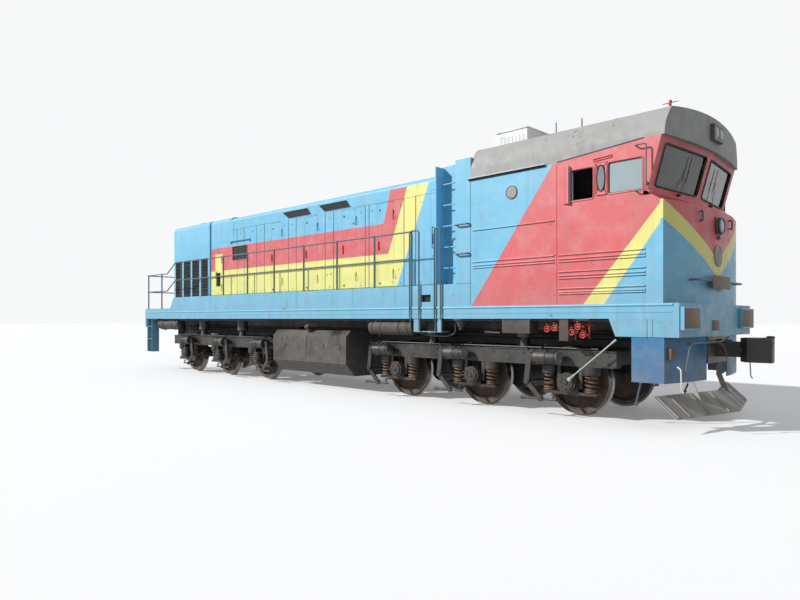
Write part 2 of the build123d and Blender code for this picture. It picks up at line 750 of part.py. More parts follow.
def radiator_grilles():
    """Slatted shutter in each bay: an upright frame with level slats."""
    grilles = []
    wall_in = RADIATOR_HALF - HOOD_WALL
    for near, far in zip(BAY_POSTS, BAY_POSTS[1:]):
        x0 = near + POST_WIDTH + SEAT_GAP
        x1 = far - SEAT_GAP
        low = RADIATOR_SILL + SEAT_GAP
        high = RADIATOR_HEAD - SEAT_GAP
        frame = block(x0, x1, wall_in + 5, RADIATOR_HALF - 8, low, high)
        frame -= block(x0 + 20, x1 - 20, wall_in, RADIATOR_HALF, low + 20, high - 20)
        slats = []
        z = low + SLAT_PITCH / 2
        while z < high - SLAT_PITCH / 4:
            slat = Rot(35, 0, 0) * Box(x1 - x0 - 38, 34, SLAT_THICKNESS)
            slats.append(Pos((x0 + x1) / 2, RADIATOR_HALF - HOOD_WALL / 2, z) * slat)
            z += SLAT_PITCH
        grilles += pair(fused([frame] + slats))
    return grilles


def hood_louvres():
    """Dark inserts of the slanted vents and of the side louvre."""
    inserts = []
    outer = HOOD_HALF - 15
    for top_rear, top_front, low_rear, low_front in HOOD_VENTS:
        outline = [
            (top_rear + 2, VENT_TOP - SEAT_GAP),
            (top_front - 2, VENT_TOP - SEAT_GAP),
            (low_front - 2, VENT_BOTTOM + SEAT_GAP),
            (low_rear + 2, VENT_BOTTOM + SEAT_GAP),
        ]
        inserts += pair(prism_y(outline, outer - 10, outer))
    x0, x1, z0, z1 = LOUVRE
    inserts += pair(
        block(x0 + SEAT_GAP, x1 - SEAT_GAP, outer - 10, outer, z0 + SEAT_GAP, z1 - SEAT_GAP)
    )
    return inserts


ENGINE_BLOCK = (-3900.0, 2500.0, 560.0, 3500.0)


def engine_block():
    rear, front, half, top = ENGINE_BLOCK
    return block(rear, front, -half, half, DECK_TOP, top)


# Vestibule
def vestibule():
    """The full-width section behind the cab, with a ladder recess on each side."""
    wall = CAB_WALL
    inside = RECESS_Y - wall
    pieces = []
    for side in (1, -1):
        def span(a, b):
            return sorted((side * a, side * b))

        wing = span(RECESS_Y - wall, HALF_WIDTH)
        pieces.append(
            block(VESTIBULE_REAR, VESTIBULE_REAR + 30, wing[0], wing[1], WALKWAY_TOP, VESTIBULE_TOP)
        )
        back = span(HOOD_HALF - HOOD_WALL, RECESS_Y)
        pieces.append(
            block(VESTIBULE_REAR, VESTIBULE_REAR + wall, back[0], back[1], DECK_TOP, VESTIBULE_TOP)
        )
        panel = span(inside, RECESS_Y)
        pieces.append(
            block(VESTIBULE_REAR, RECESS_FRONT + 1, panel[0], panel[1], DECK_TOP, VESTIBULE_TOP)
        )
        cheek = span(inside, HALF_WIDTH)
        pieces.append(
            block(RECESS_FRONT, RECESS_FRONT + 30, cheek[0], cheek[1], DECK_TOP, VESTIBULE_TOP)
        )
        side_panel = span(HALF_WIDTH - wall, HALF_WIDTH)
        pieces.append(
            block(RECESS_FRONT, CAB_REAR, side_panel[0], side_panel[1], DECK_TOP, VESTIBULE_TOP)
        )
        floor = span(RECESS_Y - 1, HALF_WIDTH)
        pieces.append(block(VESTIBULE_REAR, RECESS_FRONT + 1, floor[0], floor[1], DECK_TOP, WALKWAY_TOP))
    pieces.append(
        block(VESTIBULE_REAR, RECESS_FRONT + 1, -RECESS_Y, RECESS_Y, VESTIBULE_TOP - 1, VESTIBULE_TOP + 30)
    )
    pieces.append(
        block(RECESS_FRONT, ROOF_REAR, -HALF_WIDTH, HALF_WIDTH, VESTIBULE_TOP - 1, VESTIBULE_TOP + 30)
    )
    return fused(pieces + ladder_rungs())


RUNG_RADIUS = 12.0
RUNG_PITCH = 370.0
RUNG_TOP = 3870.0
RUNG_DEPTH = 120.0
RUNG_HALF = 150.0


def bent_bar(points, bend, radius):
    """A round bar along straight runs with rounded bends."""
    path = FilletPolyline(*points, radius=bend)
    start = Vector(*points[0])
    plane = Plane(origin=start, z_dir=Vector(*points[1]) - start)
    return sweep(plane * Circle(radius), path=path)


def ladder_rungs():
    """U-shaped rungs on the back panel of each ladder recess."""
    rungs = []
    middle = (VESTIBULE_REAR + RECESS_FRONT) / 2
    near = middle - RUNG_HALF
    far = middle + RUNG_HALF
    out = RECESS_Y + RUNG_DEPTH
    z = RUNG_TOP
    while z > WALKWAY_TOP + RUNG_PITCH / 2:
        points = [(near, RECESS_Y - 5, z), (near, out, z), (far, out, z), (far, RECESS_Y - 5, z)]
        rungs += pair(bent_bar(points, 3 * RUNG_RADIUS, RUNG_RADIUS))
        z -= RUNG_PITCH
    return rungs


DOORWAY_HALF = 300.0


def cab_bulkhead():
    wall = block(
        CAB_REAR,
        CAB_REAR + CAB_WALL,
        -HALF_WIDTH + CAB_WALL,
        HALF_WIDTH - CAB_WALL,
        CAB_FLOOR_TOP,
        ROOF_EAVE,
    )
    return wall - block(
        CAB_REAR - 5,
        CAB_REAR + CAB_WALL + 5,
        -DOORWAY_HALF,
        DOORWAY_HALF,
        CAB_FLOOR_TOP,
        ROOF_EAVE - 60,
    )


def cab_floor():
    front = NOSE_CORNER - CAB_WALL - 40
    plinth = block(CAB_REAR, front, -HALF_WIDTH + CAB_WALL, HALF_WIDTH - CAB_WALL, DECK_TOP, CAB_FLOOR_TOP)
    inside = RECESS_Y - CAB_WALL
    rear = block(VESTIBULE_REAR + CAB_WALL, CAB_REAR, -inside, inside, DECK_TOP, CAB_FLOOR_TOP)
    hood = HOOD_HALF - HOOD_WALL
    lobby = block(ENGINE_BLOCK[1] + 300, VESTIBULE_REAR + CAB_WALL, -hood, hood, DECK_TOP, CAB_FLOOR_TOP)
    return fused([plinth, rear, lobby])


# Side windows of the cab: rear X, front X, bottom and top.
SIDE_WINDOWS = [(6380.0, 6730.0, 3240.0, 3680.0), (6970.0, 7460.0, 3270.0, 3700.0)]
RIB_DEPTH = 14.0
RIB_HALF = 9.0
# Pressed ribs of the cab side: rear X, front X and height.
SIDE_RIBS = [
    (4550.0, 6100.0, 2980.0),
    (4550.0, 6100.0, 2450.0),
    (4550.0, 6100.0, 2395.0),
    (4550.0, 6100.0, 2340.0),
    (6180.0, 7500.0, 2450.0),
    (6180.0, 7500.0, 2395.0),
    (6180.0, 7500.0, 2340.0),
    (6180.0, 7500.0, 2200.0),
    (6180.0, 7500.0, 2145.0),
    (6180.0, 7500.0, 2090.0),
    (6180.0, 7500.0, 1960.0),
    (6180.0, 7500.0, 1905.0),
    (6180.0, 7500.0, 1850.0),
]


def cab_sides():
    """Flat side walls; the front edge follows the nose and the raked windscreen."""
    nose = NOSE_CORNER - CAB_WALL
    outline = [
        (CAB_REAR, DECK_TOP),
        (nose, DECK_TOP),
        (nose, NOSE_TOP),
        (SCREEN_BASE_CORNER, SCREEN_BASE),
        (SCREEN_BASE_CORNER + SCREEN_RAKE, SCREEN_TOP),
        (SCREEN_BASE_CORNER - CAB_WALL, SCREEN_TOP),
        (EAVE_RISE_X, ROOF_EAVE),
        (CAB_REAR, ROOF_EAVE),
    ]
    wall = prism_y(outline, HALF_WIDTH - CAB_WALL, HALF_WIDTH)
    for x0, x1, z0, z1 in SIDE_WINDOWS:
        wall -= block(x0, x1, HALF_WIDTH - CAB_WALL - 5, HALF_WIDTH + 5, z0, z1)
    return pair(wall)


def nose_plan(corner_x, centre_x, half, back, z):
    """Plan outline with a bowed front, as a face at height z."""
    outline = Wire(
        [
            Line((back, -half, z), (corner_x, -half, z)),
            ThreePointArc((corner_x, -half, z), (centre_x, 0, z), (corner_x, half, z)),
            Line((corner_x, half, z), (back, half, z)),
            Line((back, half, z), (back, -half, z)),
        ]
    )
    return Face(outline)


def cab_nose():
    """Bowed front wall from the deck to the ledge below the windscreens."""
    back = NOSE_CORNER - CAB_WALL
    outer = extrude(
        nose_plan(NOSE_CORNER, NOSE_CENTRE, HALF_WIDTH, back, DECK_TOP), NOSE_TOP - DECK_TOP, dir=(0, 0, 1)
    )
    inner = extrude(
        nose_plan(
            NOSE_CORNER - CAB_WALL,
            NOSE_CENTRE - CAB_WALL,
            HALF_WIDTH - CAB_WALL,
            back - 50,
            DECK_TOP - 5,
        ),
        NOSE_TOP - DECK_TOP - CAB_WALL + 5,
        dir=(0, 0, 1),
    )
    return outer - inner


def windscreen_frame():
    """Two flat screens meeting in a shallow vee and leaning forward at the top."""
    half = HALF_WIDTH - CAB_WALL

    def plan(x, z, inset):
        return [(x - inset, -half + 0, z), (x + SCREEN_VEE - inset, 0, z), (x - inset, half, z)]

    low = plan(SCREEN_BASE_CORNER, SCREEN_BASE, 0)
    high = plan(SCREEN_BASE_CORNER + SCREEN_RAKE, SCREEN_TOP, 0)
    halves = []
    for side in (0, 2):
        corners = [low[1], low[side], high[side], high[1]]
        face = make_face(Polyline(*corners, close=True))
        halves.append(extrude(face, CAB_WALL, dir=(-1, 0, 0)))
    return halves, low, high


SCREEN_MARGIN = 90.0


def screen_opening(low, high, side, depth, start, margin):
    """The window of one screen, as a prism that starts ahead of it."""
    a = Vector(*low[1])
    b = Vector(*low[side])
    c = Vector(*high[side])
    d = Vector(*high[1])
    across = (b - a).normalized()
    up = (d - a).normalized()
    corners = [
        a + across * margin + up * margin,
        b - across * margin * 1.4 + up * margin,
        c - across * margin * 1.4 - up * margin,
        d + across * margin - up * margin,
    ]
    shift = Vector(start, 0, 0)
    face = make_face(Polyline(*[tuple(p + shift) for p in corners], close=True))
    return extrude(face, depth, dir=(-1, 0, 0))


def cab_screens():
    halves, low, high = windscreen_frame()
    frame = fused(halves)
    for side in (0, 2):
        frame -= screen_opening(low, high, side, CAB_WALL + 40, 20, SCREEN_MARGIN)
    ledge = prism_y(
        [
            (SCREEN_BASE_CORNER - CAB_WALL, NOSE_TOP),
            (NOSE_CORNER - CAB_WALL, NOSE_TOP),
            (SCREEN_BASE_CORNER, SCREEN_BASE),
            (SCREEN_BASE_CORNER - CAB_WALL, SCREEN_BASE),
        ],
        -HALF_WIDTH + CAB_WALL,
        HALF_WIDTH - CAB_WALL,
    )
    return frame.fuse(ledge)


def cab_glass():
    panes = []
    halves, low, high = windscreen_frame()
    for side in (0, 2):
        panes.append(screen_opening(low, high, side, 8, -14, SCREEN_MARGIN + SEAT_GAP))
    for x0, x1, z0, z1 in SIDE_WINDOWS[1:]:
        y = HALF_WIDTH - CAB_WALL / 2
        panes += pair(block(x0 + SEAT_GAP, x1 - SEAT_GAP, y - 4, y + 4, z0 + SEAT_GAP, z1 - SEAT_GAP))
    return panes


def cab_roof():
    """Grey roof shell with a closed fascia over the windscreens."""
    outer = arched(HALF_WIDTH, ROOF_EAVE, ROOF_EAVE + 5, ROOF_SHOULDER_Y, ROOF_CROWN, ROOF_REAR, ROOF_FRONT)
    inner = arched(
        HALF_WIDTH - ROOF_SHELL,
        ROOF_EAVE - 10,
        ROOF_EAVE,
        ROOF_SHOULDER_Y - ROOF_SHELL,
        ROOF_CROWN - ROOF_SHELL,
        ROOF_REAR + ROOF_SHELL,
        NOSE_CORNER - 60,
    )
    trim = extrude(
        nose_plan(
            ROOF_CORNER, ROOF_FRONT, HALF_WIDTH, ROOF_REAR - 50, ROOF_EAVE - 50
        ),
        ROOF_CROWN - ROOF_EAVE + 100,
        dir=(0, 0, 1),
    )
    shell = (outer & trim) - inner
    mouth = prism_y(
        [
            (EAVE_RISE_X, ROOF_EAVE),
            (SCREEN_BASE_CORNER - CAB_WALL, SCREEN_TOP),
            (ROOF_FRONT + 50, SCREEN_TOP),
            (ROOF_FRONT + 50, ROOF_EAVE - 5),
            (EAVE_RISE_X, ROOF_EAVE - 5),
        ],
        -HALF_WIDTH - 5,
        HALF_WIDTH + 5,
    )
    return shell - mouth


def control_desk():
    return prism_y(
        [
            (6900.0, CAB_FLOOR_TOP),
            (6850.0, 2780.0),
            (7300.0, 2960.0),
            (7440.0, 2960.0),
            (7440.0, CAB_FLOOR_TOP),
        ],
        -HALF_WIDTH + CAB_WALL + 120,
        HALF_WIDTH - CAB_WALL - 120,
    )


SEAT_X = 6250.0
SEAT_Y = 780.0


def seats():
    post = rod_z(SEAT_X, SEAT_Y, 45, CAB_FLOOR_TOP, CAB_FLOOR_TOP + 400)
    base = block(SEAT_X - 230, SEAT_X + 230, SEAT_Y - 230, SEAT_Y + 230, CAB_FLOOR_TOP + 390, CAB_FLOOR_TOP + 480)
    back = block(SEAT_X - 260, SEAT_X - 170, SEAT_Y - 220, SEAT_Y + 220, CAB_FLOOR_TOP + 470, CAB_FLOOR_TOP + 1000)
    return pair(fused([post, base, back]))


# Front end below the deck
APRON_TOP = END_BEAM_BOTTOM - SEAT_GAP
APRON_BOTTOM = 630.0
APRON_PLATE = 16.0
APRON_GAP = CENTRE_SILL_OUTER + 10
APRON_BACK = 7300.0


def apron():
    outer = extrude(
        nose_plan(NOSE_CORNER + 10, FRAME_FRONT, HALF_WIDTH - 10, APRON_BACK, APRON_BOTTOM),
        APRON_TOP - APRON_BOTTOM,
        dir=(0, 0, 1),
    )
    inner = extrude(
        nose_plan(
            NOSE_CORNER + 10 - APRON_PLATE,
            FRAME_FRONT - APRON_PLATE,
            HALF_WIDTH - 10 - APRON_PLATE,
            APRON_BACK - 5,
            APRON_BOTTOM - 5,
        ),
        APRON_TOP - APRON_BOTTOM + 10,
        dir=(0, 0, 1),
    )
    gap = block(APRON_BACK, FRAME_FRONT + 200, -APRON_GAP, APRON_GAP, APRON_BOTTOM - 5, APRON_TOP + 5)
    return outer - inner - gap


PLOUGH_TOP = 620.0
PLOUGH_BOTTOM = 170.0
PLOUGH_PLATE = 16.0
PLOUGH_ARM_Y = 600.0


def snow_plough():
    """Raked vee blade under the apron."""
    half = 1250.0

    def line(corner, centre, z):
        return [
            (corner, -half, z),
            (centre, 0, z),
            (corner, half, z),
            (corner - PLOUGH_PLATE, half, z),
            (centre - PLOUGH_PLATE * 1.2, 0, z),
            (corner - PLOUGH_PLATE, -half, z),
        ]

    top = make_face(Polyline(*line(7700.0, 7880.0, PLOUGH_TOP), close=True))
    low = make_face(Polyline(*line(7800.0, 8250.0, PLOUGH_BOTTOM), close=True))
    blade = loft([low, top], ruled=True)
    arm = prism_y(
        [
            (7760, APRON_TOP),
            (7893, APRON_TOP),
            (7893, 700),
            (7790, 612),
            (7905, 400),
            (7790, 400),
            (7720, 600),
        ],
        PLOUGH_ARM_Y - 10,
        PLOUGH_ARM_Y + 10,
    )
    return fused([blade] + pair(arm))


HEAD_PLAN = [
    (0.0, -110.0),
    (-60.0, 175.0),
    (-180.0, 235.0),
    (-330.0, 200.0),
    (-420.0, 110.0),
    (-420.0, -110.0),
    (-300.0, -240.0),
    (-150.0, -240.0),
    (0.0, -190.0),
]


def coupler():
    """Claw coupler head on its shank, drawn for the front end."""
    tip = COUPLED_LENGTH / 2
    head = prism_z([(tip + x, y) for x, y in HEAD_PLAN], COUPLER_HEIGHT - 170, COUPLER_HEIGHT + 170)
    mouth = prism_z(
        [(tip + 5, -40), (tip - 190, -20), (tip - 210, 90), (tip - 60, 90), (tip + 5, 60)],
        COUPLER_HEIGHT - 180,
        COUPLER_HEIGHT + 180,
    )
    low = COUPLER_HEIGHT - SHANK_HALF_HEIGHT
    shank = block(FRAME_FRONT - 500, tip - 400, -80, 80, low, low + 2 * SHANK_HALF_HEIGHT)
    return fused([head - mouth, shank])


TANK_REAR = -1400.0
TANK_FRONT = 1200.0
TANK_HALF = 1400.0
TANK_TOP = 1250.0
TANK_BOTTOM = 300.0


def fuel_tank():
    outline = [
        (-TANK_HALF + 250, TANK_BOTTOM),
        (TANK_HALF - 250, TANK_BOTTOM),
        (TANK_HALF, 560.0),
        (TANK_HALF, TANK_TOP - 120),
        (TANK_HALF - 120, TANK_TOP),
        (-TANK_HALF + 120, TANK_TOP),
        (-TANK_HALF, TANK_TOP - 120),
        (-TANK_HALF, 560.0),
    ]
    body = prism_x(outline, TANK_REAR, TANK_FRONT)
    hangers = []
    for x in (TANK_REAR + 300, TANK_FRONT - 300):
        for y in (-CENTRE_SILL_OUTER + 60, CENTRE_SILL_OUTER - 60):
            hangers.append(block(x - 60, x + 60, y - 60, y + 60, TANK_TOP - 1, CENTRE_SILL_BOTTOM - SEAT_GAP))
    return fused([body] + hangers)


RESERVOIR_RADIUS = 140.0
RESERVOIR_Y = 1290.0
# Air reservoirs by their rear and front ends.
RESERVOIRS = [(1900.0, 3050.0), (-7400.0, -6200.0)]
# Equipment boxes under the sill: rear X, front X, bottom.
BOX_INNER_Y = (BEAM_INNER + BEAM_OUTER) / 2 + BEARING_RADIUS + 20
UNDER_BOXES = [(5130.0, 5650.0, 1270.0), (6170.0, 6320.0, 1170.0)]


def underfloor_equipment():
    items = []
    for rear, front in RESERVOIRS:
        z = SILL_BOTTOM - RESERVOIR_RADIUS - 30
        tank = rod_x(RESERVOIR_Y, z, RESERVOIR_RADIUS, rear, front)
        straps = [
            block(x - 25, x + 25, RESERVOIR_Y - 60, HALF_WIDTH_IN + 40, z, SILL_BOTTOM - SEAT_GAP)
            for x in (rear + 200, front - 200)
        ]
        items += pair(fused([tank] + straps))
    for rear, front, low in UNDER_BOXES:
        items += pair(block(rear, front, BOX_INNER_Y, HALF_WIDTH - 20, low, SILL_BOTTOM - SEAT_GAP))
    return items


RAIL_RADIUS = 15.0
POST_RADIUS = 19.0
RAIL_BEND = 70.0
RAIL_Y = 1440.0
RAIL_TOP = 3100.0
RAIL_MIDDLE = 2600.0
RAIL_DROP = 290.0
RAIL_REAR = -6250.0
RAIL_LOW_END = -6750.0
RAIL_END_X = -8100.0
RAIL_FRONT = 3100.0
STANCHION_FIRST = 2100.0
STANCHION_PITCH = 1138.0
STANCHION_COUNT = 8
GATE_HALF = 400.0
# Stanchions of the rear platform by X and Y.
PLATFORM_POSTS = [(-7100.0, RAIL_Y), (RAIL_END_X + RAIL_BEND + 40, RAIL_Y), (RAIL_END_X, GATE_HALF)]


def side_handrails():
    """Rails along the walkway, stepping down and turning round the rear platform."""
    rear = RAIL_END_X
    pieces = []
    for z in (RAIL_TOP, RAIL_MIDDLE):
        down = z - RAIL_DROP
        points = [
            (RAIL_FRONT, RAIL_Y, z),
            (RAIL_REAR, RAIL_Y, z),
            (RAIL_LOW_END, RAIL_Y, down),
            (rear, RAIL_Y, down),
            (rear, GATE_HALF, down),
        ]
        pieces.append(bent_bar(points, RAIL_BEND, RAIL_RADIUS))
    walkway_posts = [STANCHION_FIRST - number * STANCHION_PITCH for number in range(STANCHION_COUNT)]
    top = RAIL_TOP + POST_RADIUS
    for x in walkway_posts + [RAIL_FRONT]:
        pieces.append(rod_z(x, RAIL_Y, POST_RADIUS, WALKWAY_TOP + SEAT_GAP, top))
    for x, y in PLATFORM_POSTS:
        pieces.append(rod_z(x, y, POST_RADIUS, PLATFORM_TOP + SEAT_GAP, top - RAIL_DROP))
    return pair(fused(pieces)) + grab_loops()


LOOP_FOOT = 1600.0
# Grab loops beside the steps: rear leg X and front leg X.
GRAB_LOOPS = [(3110.0, 3340.0), (3715.0, 3860.0)]
SHORT_RAIL_FRONT = 4480.0


def grab_loops():
    loops = []
    for rear, front in GRAB_LOOPS:
        y = HALF_WIDTH + LIP_RADIUS * 2 / 3 + RAIL_RADIUS + SEAT_GAP
        points = [(rear, y, LOOP_FOOT), (rear, y, RAIL_TOP), (front, y, RAIL_TOP), (front, y, LOOP_FOOT)]
        loops += pair(bent_bar(points, RAIL_BEND - 5, RAIL_RADIUS))
    return loops


def cab_grab_rails():
    """Short level rails across the ladder recess, standing off the side."""
    rails = []
    for z in (RAIL_TOP, RAIL_MIDDLE):
        y = HALF_WIDTH + 60
        points = [
            (RECESS_FRONT + 40, HALF_WIDTH + SEAT_GAP, z),
            (RECESS_FRONT + 40, y, z),
            (SHORT_RAIL_FRONT, y, z),
            (SHORT_RAIL_FRONT, HALF_WIDTH + SEAT_GAP, z),
        ]
        rails += pair(bent_bar(points, 2.5 * RAIL_RADIUS, RAIL_RADIUS))
    return rails


FRONT_RAIL_Z = 2040.0
FRONT_RAIL_HALF = 900.0


def front_rail():
    """Level grab rail across the nose on two stand-offs."""
    x = NOSE_CENTRE + 60
    foot = nose_x(FRONT_RAIL_HALF - RAIL_RADIUS) + SEAT_GAP
    points = [
        (foot, -FRONT_RAIL_HALF, FRONT_RAIL_Z),
        (x, -FRONT_RAIL_HALF, FRONT_RAIL_Z),
        (x, FRONT_RAIL_HALF, FRONT_RAIL_Z),
        (foot, FRONT_RAIL_HALF, FRONT_RAIL_Z),
    ]
    return bent_bar(points, 40, RAIL_RADIUS)


def nose_x(y):
    """Front face of the bowed nose at a distance from the middle."""
    bow = NOSE_CENTRE - NOSE_CORNER
    arc = (HALF_WIDTH**2 + bow**2) / (2 * bow)
    return NOSE_CENTRE - arc + (arc**2 - y**2) ** 0.5


STEP_PLATES = [3230.0, 3790.0]
TREAD_Z = 1280.0
STEP_PLATE = 14.0
REAR_STEP_X = -7960.0
REAR_TREADS = [1280.0, 900.0, 520.0]


def boarding_steps():
    """Stirrup steps below the side sill and the corner steps at the rear."""
    steps = []
    outer = HALF_WIDTH - 15
    inner = HALF_WIDTH - 240
    cheeks = [block(x - 60, x + 60, outer - STEP_PLATE, outer, TREAD_Z - 20, SILL_BOTTOM) for x in STEP_PLATES]
    tread = block(
        STEP_PLATES[0] - 60, STEP_PLATES[1] + 60, inner, outer, TREAD_Z - 20, TREAD_Z - 20 + STEP_PLATE
    )
    steps += pair(fused(cheeks + [tread]))
    low = REAR_TREADS[-1] - STEP_PLATE
    sides = [
        block(REAR_STEP_X + x, REAR_STEP_X + x + STEP_PLATE, inner, outer, low, SILL_BOTTOM)
        for x in (-90, 220)
    ]
    treads = [
        block(REAR_STEP_X - 90, REAR_STEP_X + 220 + STEP_PLATE, inner, outer, z - STEP_PLATE, z)
        for z in REAR_TREADS
    ]
    steps += pair(fused(sides + treads))
    return steps


LAMP_FRONT = 8010.0


def lamps():
    """Nose lamp, roof headlight and the two corner marker boxes."""
    nose = rod_x(0, 2860.0, 110, nose_x(0) + SEAT_GAP, NOSE_CENTRE + 60)
    roof = block(ROOF_FRONT + SEAT_GAP, ROOF_FRONT + 60, -190, 190, 4100, 4330)
    marker = block(FRAME_FRONT + SEAT_GAP, LAMP_FRONT, 1010, 1460, 1350, 1660)
    return [nose, roof] + pair(marker)


def roof_gear():
    """Exhaust stack, cooling unit, horn, aerial and mast."""
    stack = exhaust_stack()
    unit = block(4900, 5600, -380, 380, ROOF_CROWN + SEAT_GAP, ROOF_CROWN + 170)
    aerial = rod_z(5750, 0, 10, ROOF_CROWN + SEAT_GAP, ROOF_CROWN + 480)
    mast = rod_z(7250, 0, 16, ROOF_CROWN + SEAT_GAP, ROOF_CROWN + 420)
    return [stack, unit, aerial, mast]


def mirrors():
    """Bent tube frames beside the front side windows."""
    y = HALF_WIDTH + 70
    points = [
        (7380, HALF_WIDTH + SEAT_GAP, 3240),
        (7380, y, 3240),
        (7540, y, 3240),
        (7540, y, 3860),
        (7380, y, 3860),
        (7380, HALF_WIDTH + SEAT_GAP, 3860),
    ]
    return pair(bent_bar(points, 30, 10))


def write_all():
    write("underframe", underframe())
    write("walkways", walkways())
    write("hood_sides", hood_sides())
    write("hood_roof", hood_roof())
    write("radiator_housing", radiator_housing())
    write("fan_guard", fan_guard())
    write("radiator_fan", radiator_fan())
    write("radiator_grilles", radiator_grilles())
    write("hood_louvres", hood_louvres())
    write("engine_block", engine_block())
    write("vestibule", vestibule())
    write("cab_bulkhead", cab_bulkhead())
    write("cab_floor", cab_floor())
    write("cab_sides", cab_sides())
    write("cab_nose", cab_nose())
    write("windscreen_frame", cab_screens())
    write("cab_glass", cab_glass())
    write("cab_roof", cab_roof())
    write("control_desk", control_desk())
    write("seats", seats())
    write("apron", apron())
    write("snow_plough", snow_plough())
    write("couplers", [coupler(), Rot(0, 0, 180) * coupler()])
    write("fuel_tank", fuel_tank())
    write("underfloor_equipment", underfloor_equipment())
    write("handrails", side_handrails() + cab_grab_rails() + [front_rail()])
    write("boarding_steps", boarding_steps())
    write("lamps", lamps())
    write("roof_gear", roof_gear())
    write("mirrors", mirrors())
    for number, door in enumerate(HOOD_DOORS, 1):
        leaf = door_leaf(door, HOOD_HALF)
        write("hood_door_left_" + str(number), leaf)
        write("hood_door_right_" + str(number), mirrored(leaf))
    leaf = door_leaf(VESTIBULE_DOOR, HOOD_HALF)
    write("entrance_door_left", leaf)
    write("entrance_door_right", mirrored(leaf))
    leaf = door_leaf(SERVICE_DOOR, HOOD_HALF, SERVICE_VENT)
    write("service_door_left", leaf)
    write("service_door_right", mirrored(leaf))


SERVICE_VENT = (-5050.0, -4820.0, 2400.0, 2780.0)
write_all()
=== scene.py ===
import math

import bmesh
import bpy
from mathutils import Matrix, Vector
from mathutils.bvhtree import BVHTree


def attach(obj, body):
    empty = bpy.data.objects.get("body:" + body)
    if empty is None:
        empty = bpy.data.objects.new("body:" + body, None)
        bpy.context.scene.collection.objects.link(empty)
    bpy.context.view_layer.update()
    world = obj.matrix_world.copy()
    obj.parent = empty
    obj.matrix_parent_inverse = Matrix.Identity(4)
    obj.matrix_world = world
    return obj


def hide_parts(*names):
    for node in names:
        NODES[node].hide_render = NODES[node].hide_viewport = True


# A broad-gauge diesel locomotive in sky blue, coral red and lemon yellow, on a pale floor.
# Metres. X points forward to the cab, Y to the left side, Z up from the flange tips. Heights in the dressing
# start at the rail head, LIFT above them.

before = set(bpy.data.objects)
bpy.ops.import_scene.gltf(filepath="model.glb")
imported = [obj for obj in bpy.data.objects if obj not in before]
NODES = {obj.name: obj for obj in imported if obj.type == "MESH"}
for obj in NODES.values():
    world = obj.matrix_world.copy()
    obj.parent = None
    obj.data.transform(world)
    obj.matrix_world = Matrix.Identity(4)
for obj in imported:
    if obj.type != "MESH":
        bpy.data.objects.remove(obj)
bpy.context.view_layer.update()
scene = bpy.context.scene

LIFT = 0.028
HALF_WIDTH = 1.475
HOOD_HALF = 0.82
SCREEN_HALF = 1.435
AXLES = [6.15, 4.3, 2.45, -2.45, -4.3, -6.15]
WHEEL_RADIUS = 0.525
AXLE_Z = WHEEL_RADIUS + LIFT
CYLINDER = (1.29, 0.9)  # Y and Z of a brake cylinder's axis.
MAST_X, STACK_X, FAN_X = 7.25, -1.3, -6.25

SKY = (0.165, 0.49, 0.69)
CORAL = (0.66, 0.12, 0.125)
LEMON = (0.84, 0.77, 0.23)
ROOF_GREY = (0.34, 0.335, 0.32)
# Apron blue: the apron's own darker paint with painted shade added, for the shade under the deck overhang.
APRON_BLUE_AND_SHADE = (0.025, 0.17, 0.36)
PALE_GREY = (0.5, 0.51, 0.49)
DUST = (0.24, 0.185, 0.135)
SOOT = (0.035, 0.033, 0.031)
RUST = (0.17, 0.07, 0.035)
BROWN = (0.1, 0.062, 0.042)

AHEAD, OUT, UP = (1, 0, 0), (0, 1, 0), (0, 0, 1)


class Tree:
    """A node tree with short calls for the nodes that repeat."""

    def __init__(self, owner):
        owner.use_nodes = True
        self.nodes = owner.node_tree.nodes
        self.links = owner.node_tree.links
        self.nodes.clear()

    def put(self, socket, value):
        """Link or set a socket; a single number on a colour socket is a grey."""
        if isinstance(value, bpy.types.NodeSocket):
            self.links.new(value, socket)
            return
        if socket.type == "RGBA":
            value = (*value, 1.0) if isinstance(value, tuple) else (value, value, value, 1.0)
        socket.default_value = value

    def node(self, kind, **inputs):
        node = self.nodes.new("ShaderNode" + kind)
        for name, value in inputs.items():
            self.put(node.inputs[name], value)
        return node

    def math(self, operation, *values):
        node = self.node("Math")
        node.operation = operation
        for socket, value in zip(node.inputs, values):
            self.put(socket, value)
        return node.outputs[0]


